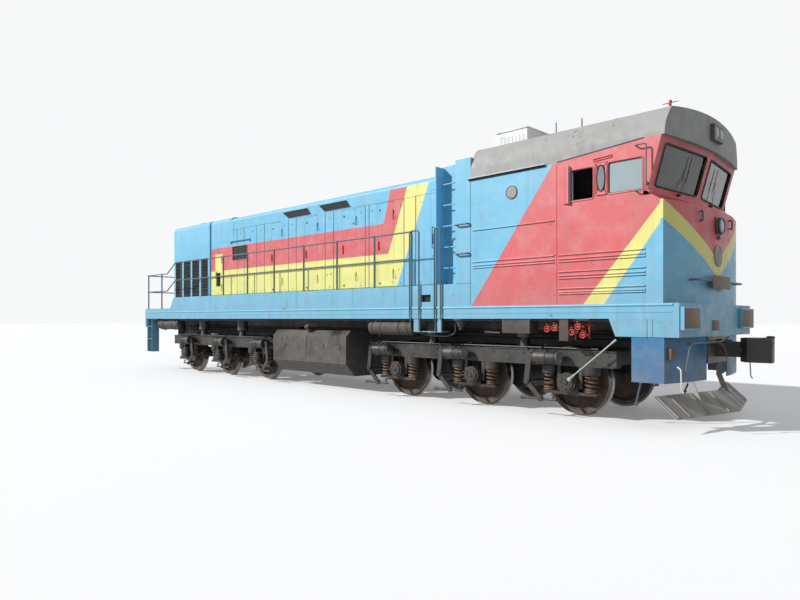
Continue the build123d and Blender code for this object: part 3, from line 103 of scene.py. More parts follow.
class Shader(Tree):
    """A material whose look is finished by one of the paint functions."""

    def __init__(self, name):
        self.mat = bpy.data.materials.new(name)
        super().__init__(self.mat)
        self.bsdf = self.node("BsdfPrincipled")
        self.node("OutputMaterial", Surface=self.bsdf.outputs[0])
        self.coords = self.node("TexCoord").outputs["Object"]
        self.x, self.y, self.z = self.node("SeparateXYZ", Vector=self.coords).outputs

    def times(self, a, b):
        return self.math("MULTIPLY", a, b)

    def over(self, value, limit):
        """1 where the value is greater than the limit."""
        return self.math("GREATER_THAN", value, limit)

    def mix(self, share, a, b, blend="MIX"):
        node = self.node("Mix")
        node.data_type = "RGBA"
        node.blend_type = blend
        for index, value in ((0, share), (6, a), (7, b)):
            self.put(node.inputs[index], value)
        return node.outputs[2]

    def span(self, value, low, high, to_low=0, to_high=1):
        node = self.node("MapRange")
        for socket, number in zip(node.inputs, (value, low, high, to_low, to_high)):
            self.put(socket, number)
        return node.outputs[0]

    def noise(self, scale, detail=4, rough=0.55, stretch=(1, 1, 1), shift=0):
        place = self.node("Mapping", Vector=self.coords, Scale=stretch, Location=(shift, shift, shift))
        node = self.node("TexNoise", Vector=place.outputs[0], Scale=scale, Detail=detail, Roughness=rough)
        return node.outputs["Fac"]

    def upward(self):
        """How far the surface faces up, from 0 to 1."""
        normal = self.node("NewGeometry").outputs["Normal"]
        return self.span(self.node("SeparateXYZ", Vector=normal).outputs[2], 0.25, 0.95)

    def beyond(self, u, v, start, end, soft=0.004):
        """1 left of a line in the plane of u and v, 0 right of it, where v is a height over the rail head."""
        du = end[0] - start[0]
        dv = end[1] - start[1]
        size = math.hypot(du, dv)
        side = self.math("MULTIPLY_ADD", v, du / size, (start[0] * dv - (start[1] + LIFT) * du) / size)
        side = self.math("MULTIPLY_ADD", u, -dv / size, side)
        return self.span(side, -soft, soft)

    def zone(self, u, v, lines):
        """1 inside the area on the left of every line."""
        inside = None
        for start, end in lines:
            here = self.beyond(u, v, start, end)
            inside = here if inside is None else self.times(inside, here)
        return inside

    def bump(self, height, strength, distance):
        node = self.node("Bump", Height=height, Strength=strength, Distance=distance)
        self.put(self.bsdf.inputs["Normal"], node.outputs[0])

    def finish(self, color, rough, metal=0):
        self.put(self.bsdf.inputs["Base Color"], color)
        self.put(self.bsdf.inputs["Roughness"], rough)
        self.put(self.bsdf.inputs["Metallic"], metal)
        return self.mat


def worn(s, color, dirt=0.35, low=1.7, rough=0.42):
    """Old paint: faded in patches, streaked downwards, dusty low down and rusty in small chips."""
    patches = s.span(s.noise(0.9, 5), 0.3, 0.7, 0.86, 1.1)
    color = s.mix(1, color, s.mix(patches, 0.82, 1.1), "MULTIPLY")
    fade = s.span(s.noise(3.5, 6, 0.65, shift=4), 0.45, 0.75, 0, 0.16)
    color = s.mix(fade, color, (0.72, 0.78, 0.8))
    streaks = s.span(s.noise(1, 5, 0.6, stretch=(7, 7, 0.55)), 0.52, 0.78, 0, dirt)
    color = s.mix(streaks, color, DUST)
    grime = s.times(s.span(s.z, low + 0.7, low), s.noise(4, 6))
    color = s.mix(s.times(grime, dirt * 1.4), color, DUST)
    chips = s.times(s.noise(14, 8, 0.7, shift=9), s.noise(2.2, 3, shift=2))
    color = s.mix(s.span(chips, 0.395, 0.43), color, RUST)
    tone = s.span(s.noise(6, 5, shift=6), 0.3, 0.7, rough - 0.08, rough + 0.16)
    s.bump(s.math("ADD", s.noise(1.6, 2), s.times(s.noise(60, 4), 0.05)), 0.25, 0.02)
    return s.finish(color, tone)


def level(height, way):
    """A level line with the wanted area above it (way 1) or below it (way -1)."""
    return ((0, height), (way, height))


def upright(place, way):
    """An upright line with the wanted area ahead of it (way 1) or behind it (way -1)."""
    return ((place, 0), (place, -way))


# Stripes on the hood: the lines between yellow and blue, red and yellow, blue and red, in X and Z.
HOOD_YELLOW_END = ((2.1, 2.15), (3, 4.2))
HOOD_RED_END = ((1.85, 2.83), (2.42, 4.2))
HOOD_RED_START = ((1.72, 3.48), (1.93, 4.2))
STRIPE_REAR = upright(-5.32, 1)
STRIPE_BOTTOM = level(2.1, 1)
# Stripes on the cab: the line where red starts, and the two edges of the yellow stripe.
CAB_RED_START = ((4.52, 1.71), (6.12, 3.9))
CAB_STRIPE_TOP = ((6.58, 1.71), (7.74, 3.1))
CAB_STRIPE_LOW = ((6.9, 1.71), (7.74, 2.84))
# Yellow vee on the nose: upper and lower edges, by distance from the middle and height.
VEE_TOP = ((0, 2.36), (1.475, 3.1))
VEE_LOW = ((0, 2.1), (1.475, 2.84))


def hood_paint(name, bare_yellow=None):
    """Stripes on the hood sides; bare_yellow is the start and end of a panel that is yellow alone."""
    s = Shader(name)
    side = s.over(s.math("ABSOLUTE", s.y), HOOD_HALF - 0.06)
    areas = [
        ([STRIPE_REAR, HOOD_YELLOW_END, STRIPE_BOTTOM], LEMON),
        ([STRIPE_REAR, HOOD_RED_END, level(2.83, 1)], CORAL),
        ([HOOD_RED_START, level(3.46, 1)], SKY),
    ]
    if bare_yellow:
        rear, front = bare_yellow
        areas.append(([upright(rear, 1), upright(front, -1), level(3.3, -1), STRIPE_BOTTOM], LEMON))
    color = SKY
    for lines, paint in areas:
        color = s.mix(s.times(s.zone(s.x, s.z, lines), side), color, paint)
    return worn(s, color, 0.3, 2.1)


def striped_paint(name, color, edges, folded=False):
    """Paint with a new colour beyond each edge, a line in X and Z, or in |Y| and Z where folded."""
    s = Shader(name)
    across = s.math("ABSOLUTE", s.y) if folded else s.x
    for (low, high), paint in edges:
        color = s.mix(s.beyond(across, s.z, high, low), color, paint)
    return worn(s, color, 0.28)


def plain_paint(name, color, dirt=0.35, low=1.7, rough=0.45):
    return worn(Shader(name), color, dirt, low, rough)


def grimy_metal(name, color=SOOT, dust=0.75, rust=0.35, rough=0.7):
    """Running gear: dark metal with dust lying on it, oil in patches and rust."""
    s = Shader(name)
    base = s.mix(s.span(s.noise(5, 6), 0.35, 0.7), color, tuple(2.2 * c for c in color))
    stain = s.span(s.noise(3, 6, 0.65, shift=3), 0.5, 0.72, 0, rust)
    base = s.mix(stain, base, RUST)
    cover = s.math("MULTIPLY_ADD", s.upward(), 0.65, 0.22)
    cover = s.times(cover, s.span(s.noise(7, 7, 0.6, shift=5), 0.25, 0.65))
    base = s.mix(s.times(cover, dust), base, DUST)
    oil = s.span(s.noise(1.7, 4, shift=8), 0.52, 0.66, 0, 0.8)
    base = s.mix(oil, base, (0.018, 0.016, 0.015))
    s.bump(s.math("ADD", s.noise(40, 6), s.noise(9, 4)), 0.25, 0.01)
    return s.finish(base, s.mix(oil, rough, 0.35), 0.2)


def wheel_steel(name, axle_x):
    """Rusty wheel with a bright worn tread."""
    s = Shader(name)
    base = s.mix(s.span(s.noise(6, 7), 0.3, 0.7), (0.045, 0.033, 0.027), BROWN)
    dust = s.times(s.span(s.noise(9, 6, shift=2), 0.35, 0.7), 0.6)
    base = s.mix(dust, base, DUST)
    dx = s.math("SUBTRACT", s.x, axle_x)
    dz = s.math("SUBTRACT", s.z, AXLE_Z)
    far = s.math("SQRT", s.math("ADD", s.times(dx, dx), s.times(dz, dz)))
    tread = s.span(far, WHEEL_RADIUS - 0.012, WHEEL_RADIUS - 0.004)
    s.bump(s.noise(50, 5), 0.2, 0.01)
    shine = s.mix(tread, 0.75, 0.25)
    return s.finish(s.mix(tread, base, (0.26, 0.25, 0.24)), shine, tread)


def frame_paint(name):
    """Body colour outside on the sills and the end beams, dark paint inside and below."""
    s = Shader(name)
    side = s.over(s.math("ABSOLUTE", s.y), HALF_WIDTH - 0.012)
    ends = s.over(s.math("ABSOLUTE", s.math("ADD", s.x, 0.1)), 8.03)
    outside = s.times(s.math("MAXIMUM", side, ends), s.over(s.z, 1.245 + LIFT))
    return worn(s, s.mix(outside, SOOT, SKY), 0.35, 1.3)


def lamp_paint(name):
    """Dark roof headlight and nose lamp and sky-blue marker boxes, told apart by their places."""
    s = Shader(name)
    color = s.mix(s.over(s.z, 3.5), 0.06, (0.045, 0.05, 0.055))
    color = s.mix(s.over(2, s.z), color, SKY)
    return worn(s, color, 0.25, 1.3)


def roof_gear_paint(name):
    """White box, red mast, dark aerial and sooty stack, told apart by their places."""
    s = Shader(name)
    color = s.mix(s.over(0, s.x), (0.75, 0.75, 0.72), SOOT)
    color = s.mix(s.over(s.x, 6.5), color, (0.42, 0.05, 0.03))
    thin = s.times(s.over(s.x, 5.7), s.over(6, s.x))
    return worn(s, s.mix(thin, color, 0.05), 0.25, 4.2, 0.6)


def glass(name):
    s = Shader(name)
    s.put(s.bsdf.inputs["Transmission Weight"], 1)
    s.put(s.bsdf.inputs["IOR"], 1.45)
    return s.finish((0.3, 0.34, 0.34), s.span(s.noise(3, 6), 0.4, 0.8, 0.03, 0.14))


def simple(name, color, rough=0.5, metal=0, grain=30, bump=0.15):
    s = Shader(name)
    shade = s.span(s.noise(grain / 6, 5), 0.3, 0.7, 0.85, 1.12)
    tone = s.mix(1, color, s.mix(shade, 0.8, 1.1), "MULTIPLY")
    s.bump(s.noise(grain, 4), bump, 0.004)
    return s.finish(tone, s.span(s.noise(grain / 3, 3), 0.3, 0.7, rough - 0.05, rough + 0.1), metal)


PAINTS = {
    "hood": (hood_paint,),
    "radiator": (hood_paint, (-5.1, -4.72)),
    "cab_side": (striped_paint, SKY, [(CAB_RED_START, CORAL), (CAB_STRIPE_TOP, LEMON), (CAB_STRIPE_LOW, SKY)]),
    "nose": (striped_paint, CORAL, [(VEE_TOP, LEMON), (VEE_LOW, SKY)], True),
    "coral": (plain_paint, CORAL, 0.2),
    "blue": (plain_paint, SKY),
    # The apron's colour is partly its darker paint and partly painted shade.
    "apron": (plain_paint, APRON_BLUE_AND_SHADE, 0.5, 0.7),
    "roof": (plain_paint, ROOF_GREY, 0.35, 1, 0.6),
    "plough": (plain_paint, PALE_GREY, 0.7, 0.4, 0.6),
    "white": (plain_paint, (0.75, 0.75, 0.72), 0.25, 4.2),
    "red": (plain_paint, (0.55, 0.03, 0.02), 0.3, 1),
    "pale": (plain_paint, (0.5, 0.62, 0.7), 0.3, 1),
    "gutter": (plain_paint, (0.5, 0.49, 0.47), 0.3, 1),
    "frame": (grimy_metal,),
    "bogie": (grimy_metal, (0.024, 0.024, 0.023), 0.4, 0.15, 0.5),
    "tank": (grimy_metal, (0.05, 0.048, 0.046), 0.5, 0.2, 0.6),
    "spring": (grimy_metal, BROWN, 0.5, 0.9, 0.6),
    "disc": (grimy_metal, (0.2, 0.2, 0.19), 0.5, 0.15, 0.55),
    "dark": (simple, (0.02, 0.02, 0.022), 0.55),
    "rail": (simple, (0.1, 0.125, 0.14), 0.5, 0.2),
    "bright": (simple, (0.34, 0.34, 0.33), 0.4, 0.7),
    "rubber": (simple, (0.012, 0.012, 0.013), 0.65),
    # Soot on the stack, and painted shade inside the foot holes.
    "soot_and_shade": (simple, (0.02, 0.019, 0.018), 0.85),
    # Dark panel joints, and painted shadow under the cab's gutter, ribs and roof edge.
    "seam_and_shadow": (simple, (0.03, 0.05, 0.06), 0.7),
    "brown": (simple, (0.13, 0.085, 0.05), 0.55),
    "lens": (simple, (0.55, 0.57, 0.56), 0.12),
    # Painted reflection of the sky on window glass.
    "sky_reflection": (simple, (0.36, 0.43, 0.45), 0.12),
    "mirror": (simple, (0.24, 0.26, 0.28), 0.1, 0.3),
    "cream": (simple, (0.62, 0.58, 0.46)),
    "engine": (simple, (0.14, 0.16, 0.14)),
    "desk": (simple, (0.11, 0.15, 0.13)),
    "cushion": (simple, (0.035, 0.028, 0.025), 0.55, 0, 120, 0.3),
    "glass": (glass,),
    "sill": (frame_paint,),
    "lamp": (lamp_paint,),
    "roof_gear": (roof_gear_paint,),
}

# The nodes of each paint, by the start of their names; the others get the frame's paint.
NODE_PAINT = {
    "hood": ("hood_sides", "hood_door", "entrance_door"),
    "radiator": ("radiator_housing", "service_door"),
    "blue": ("hood_roof", "walkways", "vestibule", "boarding_steps"),
    "cab_side": "cab_sides",
    "nose": "cab_nose",
    "coral": "windscreen_frame",
    "apron": "apron",
    "roof": ("cab_roof", "fan_guard"),
    "roof_gear": "roof_gear",
    "lamp": "lamps",
    "glass": "cab_glass",
    "cream": ("cab_bulkhead", "cab_floor"),
    "cushion": "seats",
    "desk": "control_desk",
    "engine": "engine_block",
    "plough": "snow_plough",
    "tank": "fuel_tank",
    "dark": ("radiator_grilles", "hood_louvres", "radiator_fan"),
    "rail": ("handrails", "mirrors"),
    "sill": "underframe",
    "spring": "springs",
    "bogie": ("bogie", "axle", "brake", "traction"),
}
for number, axle in enumerate(AXLES, 1):
    PAINTS[f"wheel_{number}"] = (wheel_steel, axle)
    NODE_PAINT[f"wheel_{number}"] = f"wheelset_{number}"
MATS = {name: make(name, *values) for name, (make, *values) in PAINTS.items()}


def node_paint(name):
    return MATS[next((paint for paint, starts in NODE_PAINT.items() if name.startswith(starts)), "frame")]


def soften(item, degrees):
    """Smooth shading that ends at edges sharper than an angle."""
    for face in item.data.polygons:
        face.use_smooth = True
    item.modifiers.new("edges", "EDGE_SPLIT").split_angle = math.radians(degrees)


def dress_nodes():
    """Every carried-over solid gets its paint, softened edges and smooth curves."""
    for name, node in NODES.items():
        node.data.materials.clear()
        node.data.materials.append(node_paint(name))
        for face in node.data.polygons:
            face.material_index = 0
        node.modifiers.new("weld", "WELD").merge_threshold = 0.00005
        soften(node, 28)


dress_nodes()


def turns(count):
    """Angles spread evenly round a circle."""
    return [math.tau * k / count for k in range(count)]


def circle(plane, centre, radius, angles):
    """Points round a centre in a plane such as "xz"."""
    u, v = ("xyz".index(axis) for axis in plane)
    points = [list(centre) for _ in angles]
    for point, a in zip(points, angles):
        point[u] += radius * math.cos(a)
        point[v] += radius * math.sin(a)
    return points


def rounded_path(corners, bend, closed=False):
    """Corner points with each bend turned into a short curve."""
    corners = [Vector(c) for c in corners]
    count = len(corners)
    path = []
    for i, here in enumerate(corners):
        if not closed and i in (0, count - 1):
            path.append(here)
            continue
        back = corners[i - 1] - here
        ahead = corners[(i + 1) % count] - here
        reach = min(bend, back.length * 0.45, ahead.length * 0.45)
        start = here + back.normalized() * reach
        end = here + ahead.normalized() * reach
        for step in range(6):
            t = step / 5
            path.append(start * (1 - t) ** 2 + here * (2 * t * (1 - t)) + end * t**2)
    return path


def add_object(name, data):
    item = bpy.data.objects.new(name, data)
    scene.collection.objects.link(item)
    return item


def mesh_object(name, mesh, paint):
    data = bpy.data.meshes.new(name)
    mesh.to_mesh(data)
    mesh.free()
    data.materials.append(MATS[paint])
    return add_object(name, data)


class Piece:
    """Dressing gathered from simple forms in one mesh. Where both is set it is mirrored to the other side."""

    made = []

    def __init__(self, name, paint, body="body", both=True, place=None, stands_for=None):
        self.name = name
        self.paint = paint
        self.body = body
        self.both = both
        self.place = place or Matrix.Identity(4)
        self.stands_for = stands_for
        self.mesh = bmesh.new()
        self.made.append(self)

    def box(self, x0, x1, y0, y1, z0, z1, bevel=0):
        place = Matrix.Translation(((x0 + x1) / 2, (y0 + y1) / 2, (z0 + z1) / 2))
        place = place @ Matrix.Diagonal((x1 - x0, y1 - y0, z1 - z0, 1))
        verts = bmesh.ops.create_cube(self.mesh, size=1, matrix=place)["verts"]
        if bevel:
            edges = list(dict.fromkeys(edge for vert in verts for edge in vert.link_edges))
            bmesh.ops.bevel(self.mesh, geom=edges, offset=bevel, segments=2, profile=0.5, affect="EDGES")

    def rod(self, start, end, radius, tip=None, sides=16):
        start, end = Vector(start), Vector(end)
        run = end - start
        place = Matrix.Translation((start + end) / 2) @ run.to_track_quat("Z", "Y").to_matrix().to_4x4()
        tip = radius if tip is None else tip
        shape = {"segments": sides, "radius1": radius, "radius2": tip, "depth": run.length}
        bmesh.ops.create_cone(self.mesh, cap_ends=True, matrix=place, **shape)

    def bar(self, axis, u, v, start, end, *shape, **more):
        """A rod along an axis, at u and v on the two others."""
        ends = [[u, v], [u, v]]
        for point, place in zip(ends, (start, end)):
            point.insert("xyz".index(axis), place)
        self.rod(*ends, *shape, **more)

    def ball(self, centre, radius, flat=(1, 1, 1)):
        place = Matrix.Translation(centre) @ Matrix.Diagonal((*flat, 1))
        bmesh.ops.create_uvsphere(self.mesh, u_segments=16, v_segments=8, radius=radius, matrix=place)

    def tube(self, points, radius, closed=False, sides=8):
        """A round bar through points that stand close enough together to look smooth."""
        points = [Vector(p) for p in points]
        count = len(points)
        rings = []
        side = None
        for i, point in enumerate(points):
            ahead = points[(i + 1) % count] if closed else points[min(i + 1, count - 1)]
            back = points[i - 1] if closed else points[max(i - 1, 0)]
            run = (ahead - back).normalized()
            side = run.orthogonal() if side is None else side - run * side.dot(run)
            side.normalize()
            other = run.cross(side)
            ring = [point + (side * math.cos(a) + other * math.sin(a)) * radius for a in turns(sides)]
            rings.append([self.mesh.verts.new(p) for p in ring])
        for i in range(count if closed else count - 1):
            a, b = rings[i], rings[(i + 1) % count]
            for k in range(sides):
                n = (k + 1) % sides
                self.mesh.faces.new((a[k], a[n], b[n], b[k]))
        if not closed:
            self.mesh.faces.new(reversed(rings[0]))
            self.mesh.faces.new(rings[-1])

    def bent(self, corners, bend, radius, closed=False):
        self.tube(rounded_path(corners, bend, closed), radius, closed)

    def ring(self, centre, axis, radius, wire, sides=8):
        """A ring round an axis."""
        axis = Vector(axis)
        side = axis.orthogonal().normalized()
        other = axis.normalized().cross(side)
        points = [Vector(centre) + (side * math.cos(a) + other * math.sin(a)) * radius for a in turns(32)]
        self.tube(points, wire, True, sides)

    def coil(self, x, y, low, high, radius, wire, rounds):
        """A helical spring whose end turns lie flat."""
        count = int(rounds * 16)
        points = []
        for i in range(count + 1):
            turn = rounds * i / count
            share = min(max((turn - 0.7) / (rounds - 1.4), 0), 1)
            a = math.tau * turn
            z = low + wire + (high - low - 2 * wire) * share
            points.append((x + radius * math.cos(a), y + radius * math.sin(a), z))
        self.tube(points, wire)

    def prism(self, outline, depth):
        """A flat outline given by its corners, drawn out along a direction."""
        base = [self.mesh.verts.new(p) for p in outline]
        top = [self.mesh.verts.new(Vector(p) + Vector(depth)) for p in outline]
        self.mesh.faces.new(base)
        self.mesh.faces.new(reversed(top))
        for i in range(len(base)):
            n = (i + 1) % len(base)
            self.mesh.faces.new((base[i], base[n], top[n], top[i]))

    def plate(self, y0, y1, corners):
        """A plate between two places on Y, with its corners in X and Z."""
        self.prism([(x, y0, z) for x, z in corners], (0, y1 - y0, 0))

    def grip(self, start, end, proud, bend, radius):
        """A bow handle that stands off a face by the vector proud."""
        proud = Vector(proud)
        self.bent([start, Vector(start) + proud, Vector(end) + proud, end], bend, radius)

    def bolts(self, points, axis, radius=0.009, proud=0.007, sides=6):
        for point in points:
            self.rod(point, Vector(point) + Vector(axis) * proud, radius, sides=sides)

    def done(self):
        mesh = self.mesh
        if self.both:
            copy = bmesh.ops.duplicate(mesh, geom=mesh.verts[:] + mesh.edges[:] + mesh.faces[:])
            verts = [item for item in copy["geom"] if isinstance(item, bmesh.types.BMVert)]
            bmesh.ops.scale(mesh, vec=(1, -1, 1), verts=verts)
        bmesh.ops.transform(mesh, matrix=Matrix.Translation((0, 0, LIFT)) @ self.place, verts=mesh.verts)
        bmesh.ops.recalc_face_normals(mesh, faces=mesh.faces)
        item = mesh_object(self.name, mesh, self.paint)
        soften(item, 35)
        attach(item, self.body)
        if self.stands_for:
            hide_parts(self.stands_for)


def lone(name, paint):
    """A piece that isn't mirrored."""
    return Piece(name, paint, both=False)


def roof_line(node, x, reach, count=14):
    """Points over a roof from one side to the other, taken from the solid itself."""
    data = NODES[node].data
    tree = BVHTree.FromPolygons([v.co for v in data.vertices], [p.vertices for p in data.polygons])
    points = []
    for i in range(count + 1):
        y = -reach + 2 * reach * i / count
        hit = tree.ray_cast((x, y, 6), (0, 0, -1))[0]
        if hit:
            points.append((x, y, hit.z - LIFT))
    return points


# Panel seams of the hood side, between the doors.
HOOD_SEAMS = [-3.95, -3.6, -3, -2.65, -1.62, -1.3, -0.2, 0.1, 1.15, 1.27, 2.3, 2.62]
HOOD_TOP_SEAM = 3.905
LOUVRE = (-4.18, -3.45, 3.07, 3.45)
# Upper and lower rear corner and upper and lower front corner of each slanted vent.
VENTS = [(-1.87, -1.6, -0.85, -0.7), (-0.45, -0.2, 0.55, 0.7)]
VENT_LOW, VENT_HIGH = 3.925, 4.1
BAY_POSTS = [-7.5, -6.98, -6.46, -5.94, -5.44]
# Sections of the sloping slats: Y, and height over the slat's place.
LOUVRE_SLAT = [(0.802, 0.014), (0.818, -0.004), (0.82, 0), (0.804, 0.018)]
VENT_SLAT = [(0.803, 0.008), (0.817, -0.006), (0.819, 0), (0.805, 0.013)]
BAY_SLAT = [(0.828, 0.013), (0.846, -0.004), (0.847, 0), (0.83, 0.017)]
DOOR_SLAT = [(0.8, 0.012), (0.816, -0.004), (0.818, 0), (0.802, 0.016)]


def side_loop(piece, x0, x1, z0, z1, y, bend, wire):
    """A closed frame of wire on a side."""
    piece.bent([(x0, y, z0), (x1, y, z0), (x1, y, z1), (x0, y, z1)], bend, wire, True)


def slat(piece, rear, front, z, section):
    piece.prism([(rear, y, z + rise) for y, rise in section], (front - rear, 0, 0))


def hood_details():
    seams = Piece("hood_seams", "seam_and_shadow")
    for x in HOOD_SEAMS:
        seams.box(x - 0.009, x + 0.009, 0.815, 0.8215, 2.12, HOOD_TOP_SEAM)
    top = (HOOD_TOP_SEAM - 0.003, HOOD_TOP_SEAM + 0.003)
    lines = [(-4.25, -1.95, *top), (-0.62, -0.5, *top), (0.78, 3.66, *top)]
    lines += [(-5.35, -5.12, 3.36, 3.366), (-4.72, -4.25, 3.6, 3.606), (-4.135, -4.129, 3.66, 4.12)]
    for x0, x1, z0, z1 in lines:
        seams.box(x0, x1, 0.815, 0.8212, z0, z1)
    x0, x1, z0, z1 = LOUVRE
    rim = Piece("louvre_rim", "hood")
    side_loop(rim, *LOUVRE, 0.822, 0.01, 0.011)
    rim.box(x0 - 0.06, x1 + 0.14, 0.815, 0.862, z1 + 0.142, z1 + 0.152)
    rim.box(x0 - 0.06, x1 + 0.14, 0.855, 0.862, z1 + 0.132, z1 + 0.152)
    for x in (x0 - 0.055, x1 + 0.135):
        rim.box(x - 0.005, x + 0.005, 0.815, 0.86, z1 + 0.08, z1 + 0.145)
    slats = Piece("louvre_slats", "dark")
    for i in range(9):
        slat(slats, x0 + 0.004, x1 - 0.004, z0 + 0.022 + i * 0.042, LOUVRE_SLAT)
    for top_rear, low_rear, top_front, low_front in VENTS:
        top = [(x, 0.822, VENT_HIGH) for x in (top_rear, top_front)]
        low = [(x, 0.822, VENT_LOW) for x in (low_front, low_rear)]
        rim.bent(top + low, 0.008, 0.007, True)
        for i in range(5):
            share = (i + 0.5) / 5
            rear = low_rear + (top_rear - low_rear) * share + 0.01
            front = low_front + (top_front - low_front) * share - 0.01
            slat(slats, rear, front, VENT_LOW + (VENT_HIGH - VENT_LOW) * share, VENT_SLAT)
    cores = Piece("radiator_cores", "dark")
    cores.box(-7.45, -5.42, 0.735, 0.755, 2.1, 3.3)
    for rear, front in zip(BAY_POSTS, BAY_POSTS[1:]):
        for i in range(24):
            slat(cores, rear + 0.095, front - 0.005, 2.19 + i * 0.044, BAY_SLAT)
    studs = Piece("hood_fasteners", "hood")
    for x in (-3.78, -3.2, -2.8, -1.8, -1.45, -0.05, 1, 1.35, 2.2, 2.75):
        studs.bolts([(x, 0.819, 2.22), (x, 0.819, 3.78)], OUT, 0.018, 0.012, 12)
    for x in (-5.25, -4.6):
        studs.bolts([(x, 0.819, 2.3), (x, 0.819, 3.2)], OUT, 0.015, 0.01, 12)
    for i in range(12):
        studs.bolts([(-7.4 + i * 0.26, 0.819, 3.6 + 0.32 * (i % 2))], OUT, 0.012, 0.008, 8)
    beads = lone("hood_roof_beads", "blue")
    for roof, places in (("hood_roof", (-3.2, -2.1, -0.35, 0.85, 2.05, 3.2)), ("radiator_housing", (-4.6, -5.5))):
        for x in places:
            beads.tube(roof_line(roof, x, 0.8), 0.009)
    for x in (-3.8, -2.6, -0.8, 0.4, 1.5, 2.7):
        for y in (-0.45, 0.45):
            z = roof_line("hood_roof", x, 0.45, 2)[0][2]
            beads.grip((x - 0.06, y, z), (x + 0.06, y, z), (0, 0, 0.05), 0.02, 0.008)
    for side, sign in (("left", 1), ("right", -1)):
        flip = Matrix.Diagonal((1, sign, 1, 1))
        vent = Piece("service_slats_" + side, "dark", "service_door_" + side, False, flip)
        for i in range(9):
            slat(vent, -5.058, -4.822, 2.42 + i * 0.041, DOOR_SLAT)
        for number, x in enumerate((-2.27, -0.88, 0.46, 1.6), 1):
            end = f"{side}_{number}"
            knob = Piece("door_locks_" + end, "rail", "hood_door_" + end, False, flip)
            for z in (2.23, 3.75):
                knob.bar("y", x, z, 0.817, 0.832, 0.022, sides=20)
        handle = Piece("entrance_handle_" + side, "rail", "entrance_door_" + side, False, flip)
        handle.grip((3.09, 0.82, 2.85), (3.09, 0.82, 3.25), (0, 0.042, 0), 0.02, 0.009)
        handle.bar("y", 3.1, 2.7, 0.818, 0.85, 0.012)
        handle.box(3.09, 3.2, 0.845, 0.857, 2.69, 2.71, 0.004)


# Side windows of the cab: rear, front, bottom and top.
REAR_WINDOW = (6.38, 6.73, 3.24, 3.68)
FRONT_WINDOW = (6.97, 7.46, 3.27, 3.7)
# Pressed ribs of the cab side: start, end and heights.
CAB_RIBS = [
    (4.55, 6.1, (2.98, 2.45, 2.39, 2.35)),
    (6.18, 7.5, (2.45, 2.39, 2.35, 2.2, 2.14, 2.1, 1.95, 1.9, 1.87)),
]


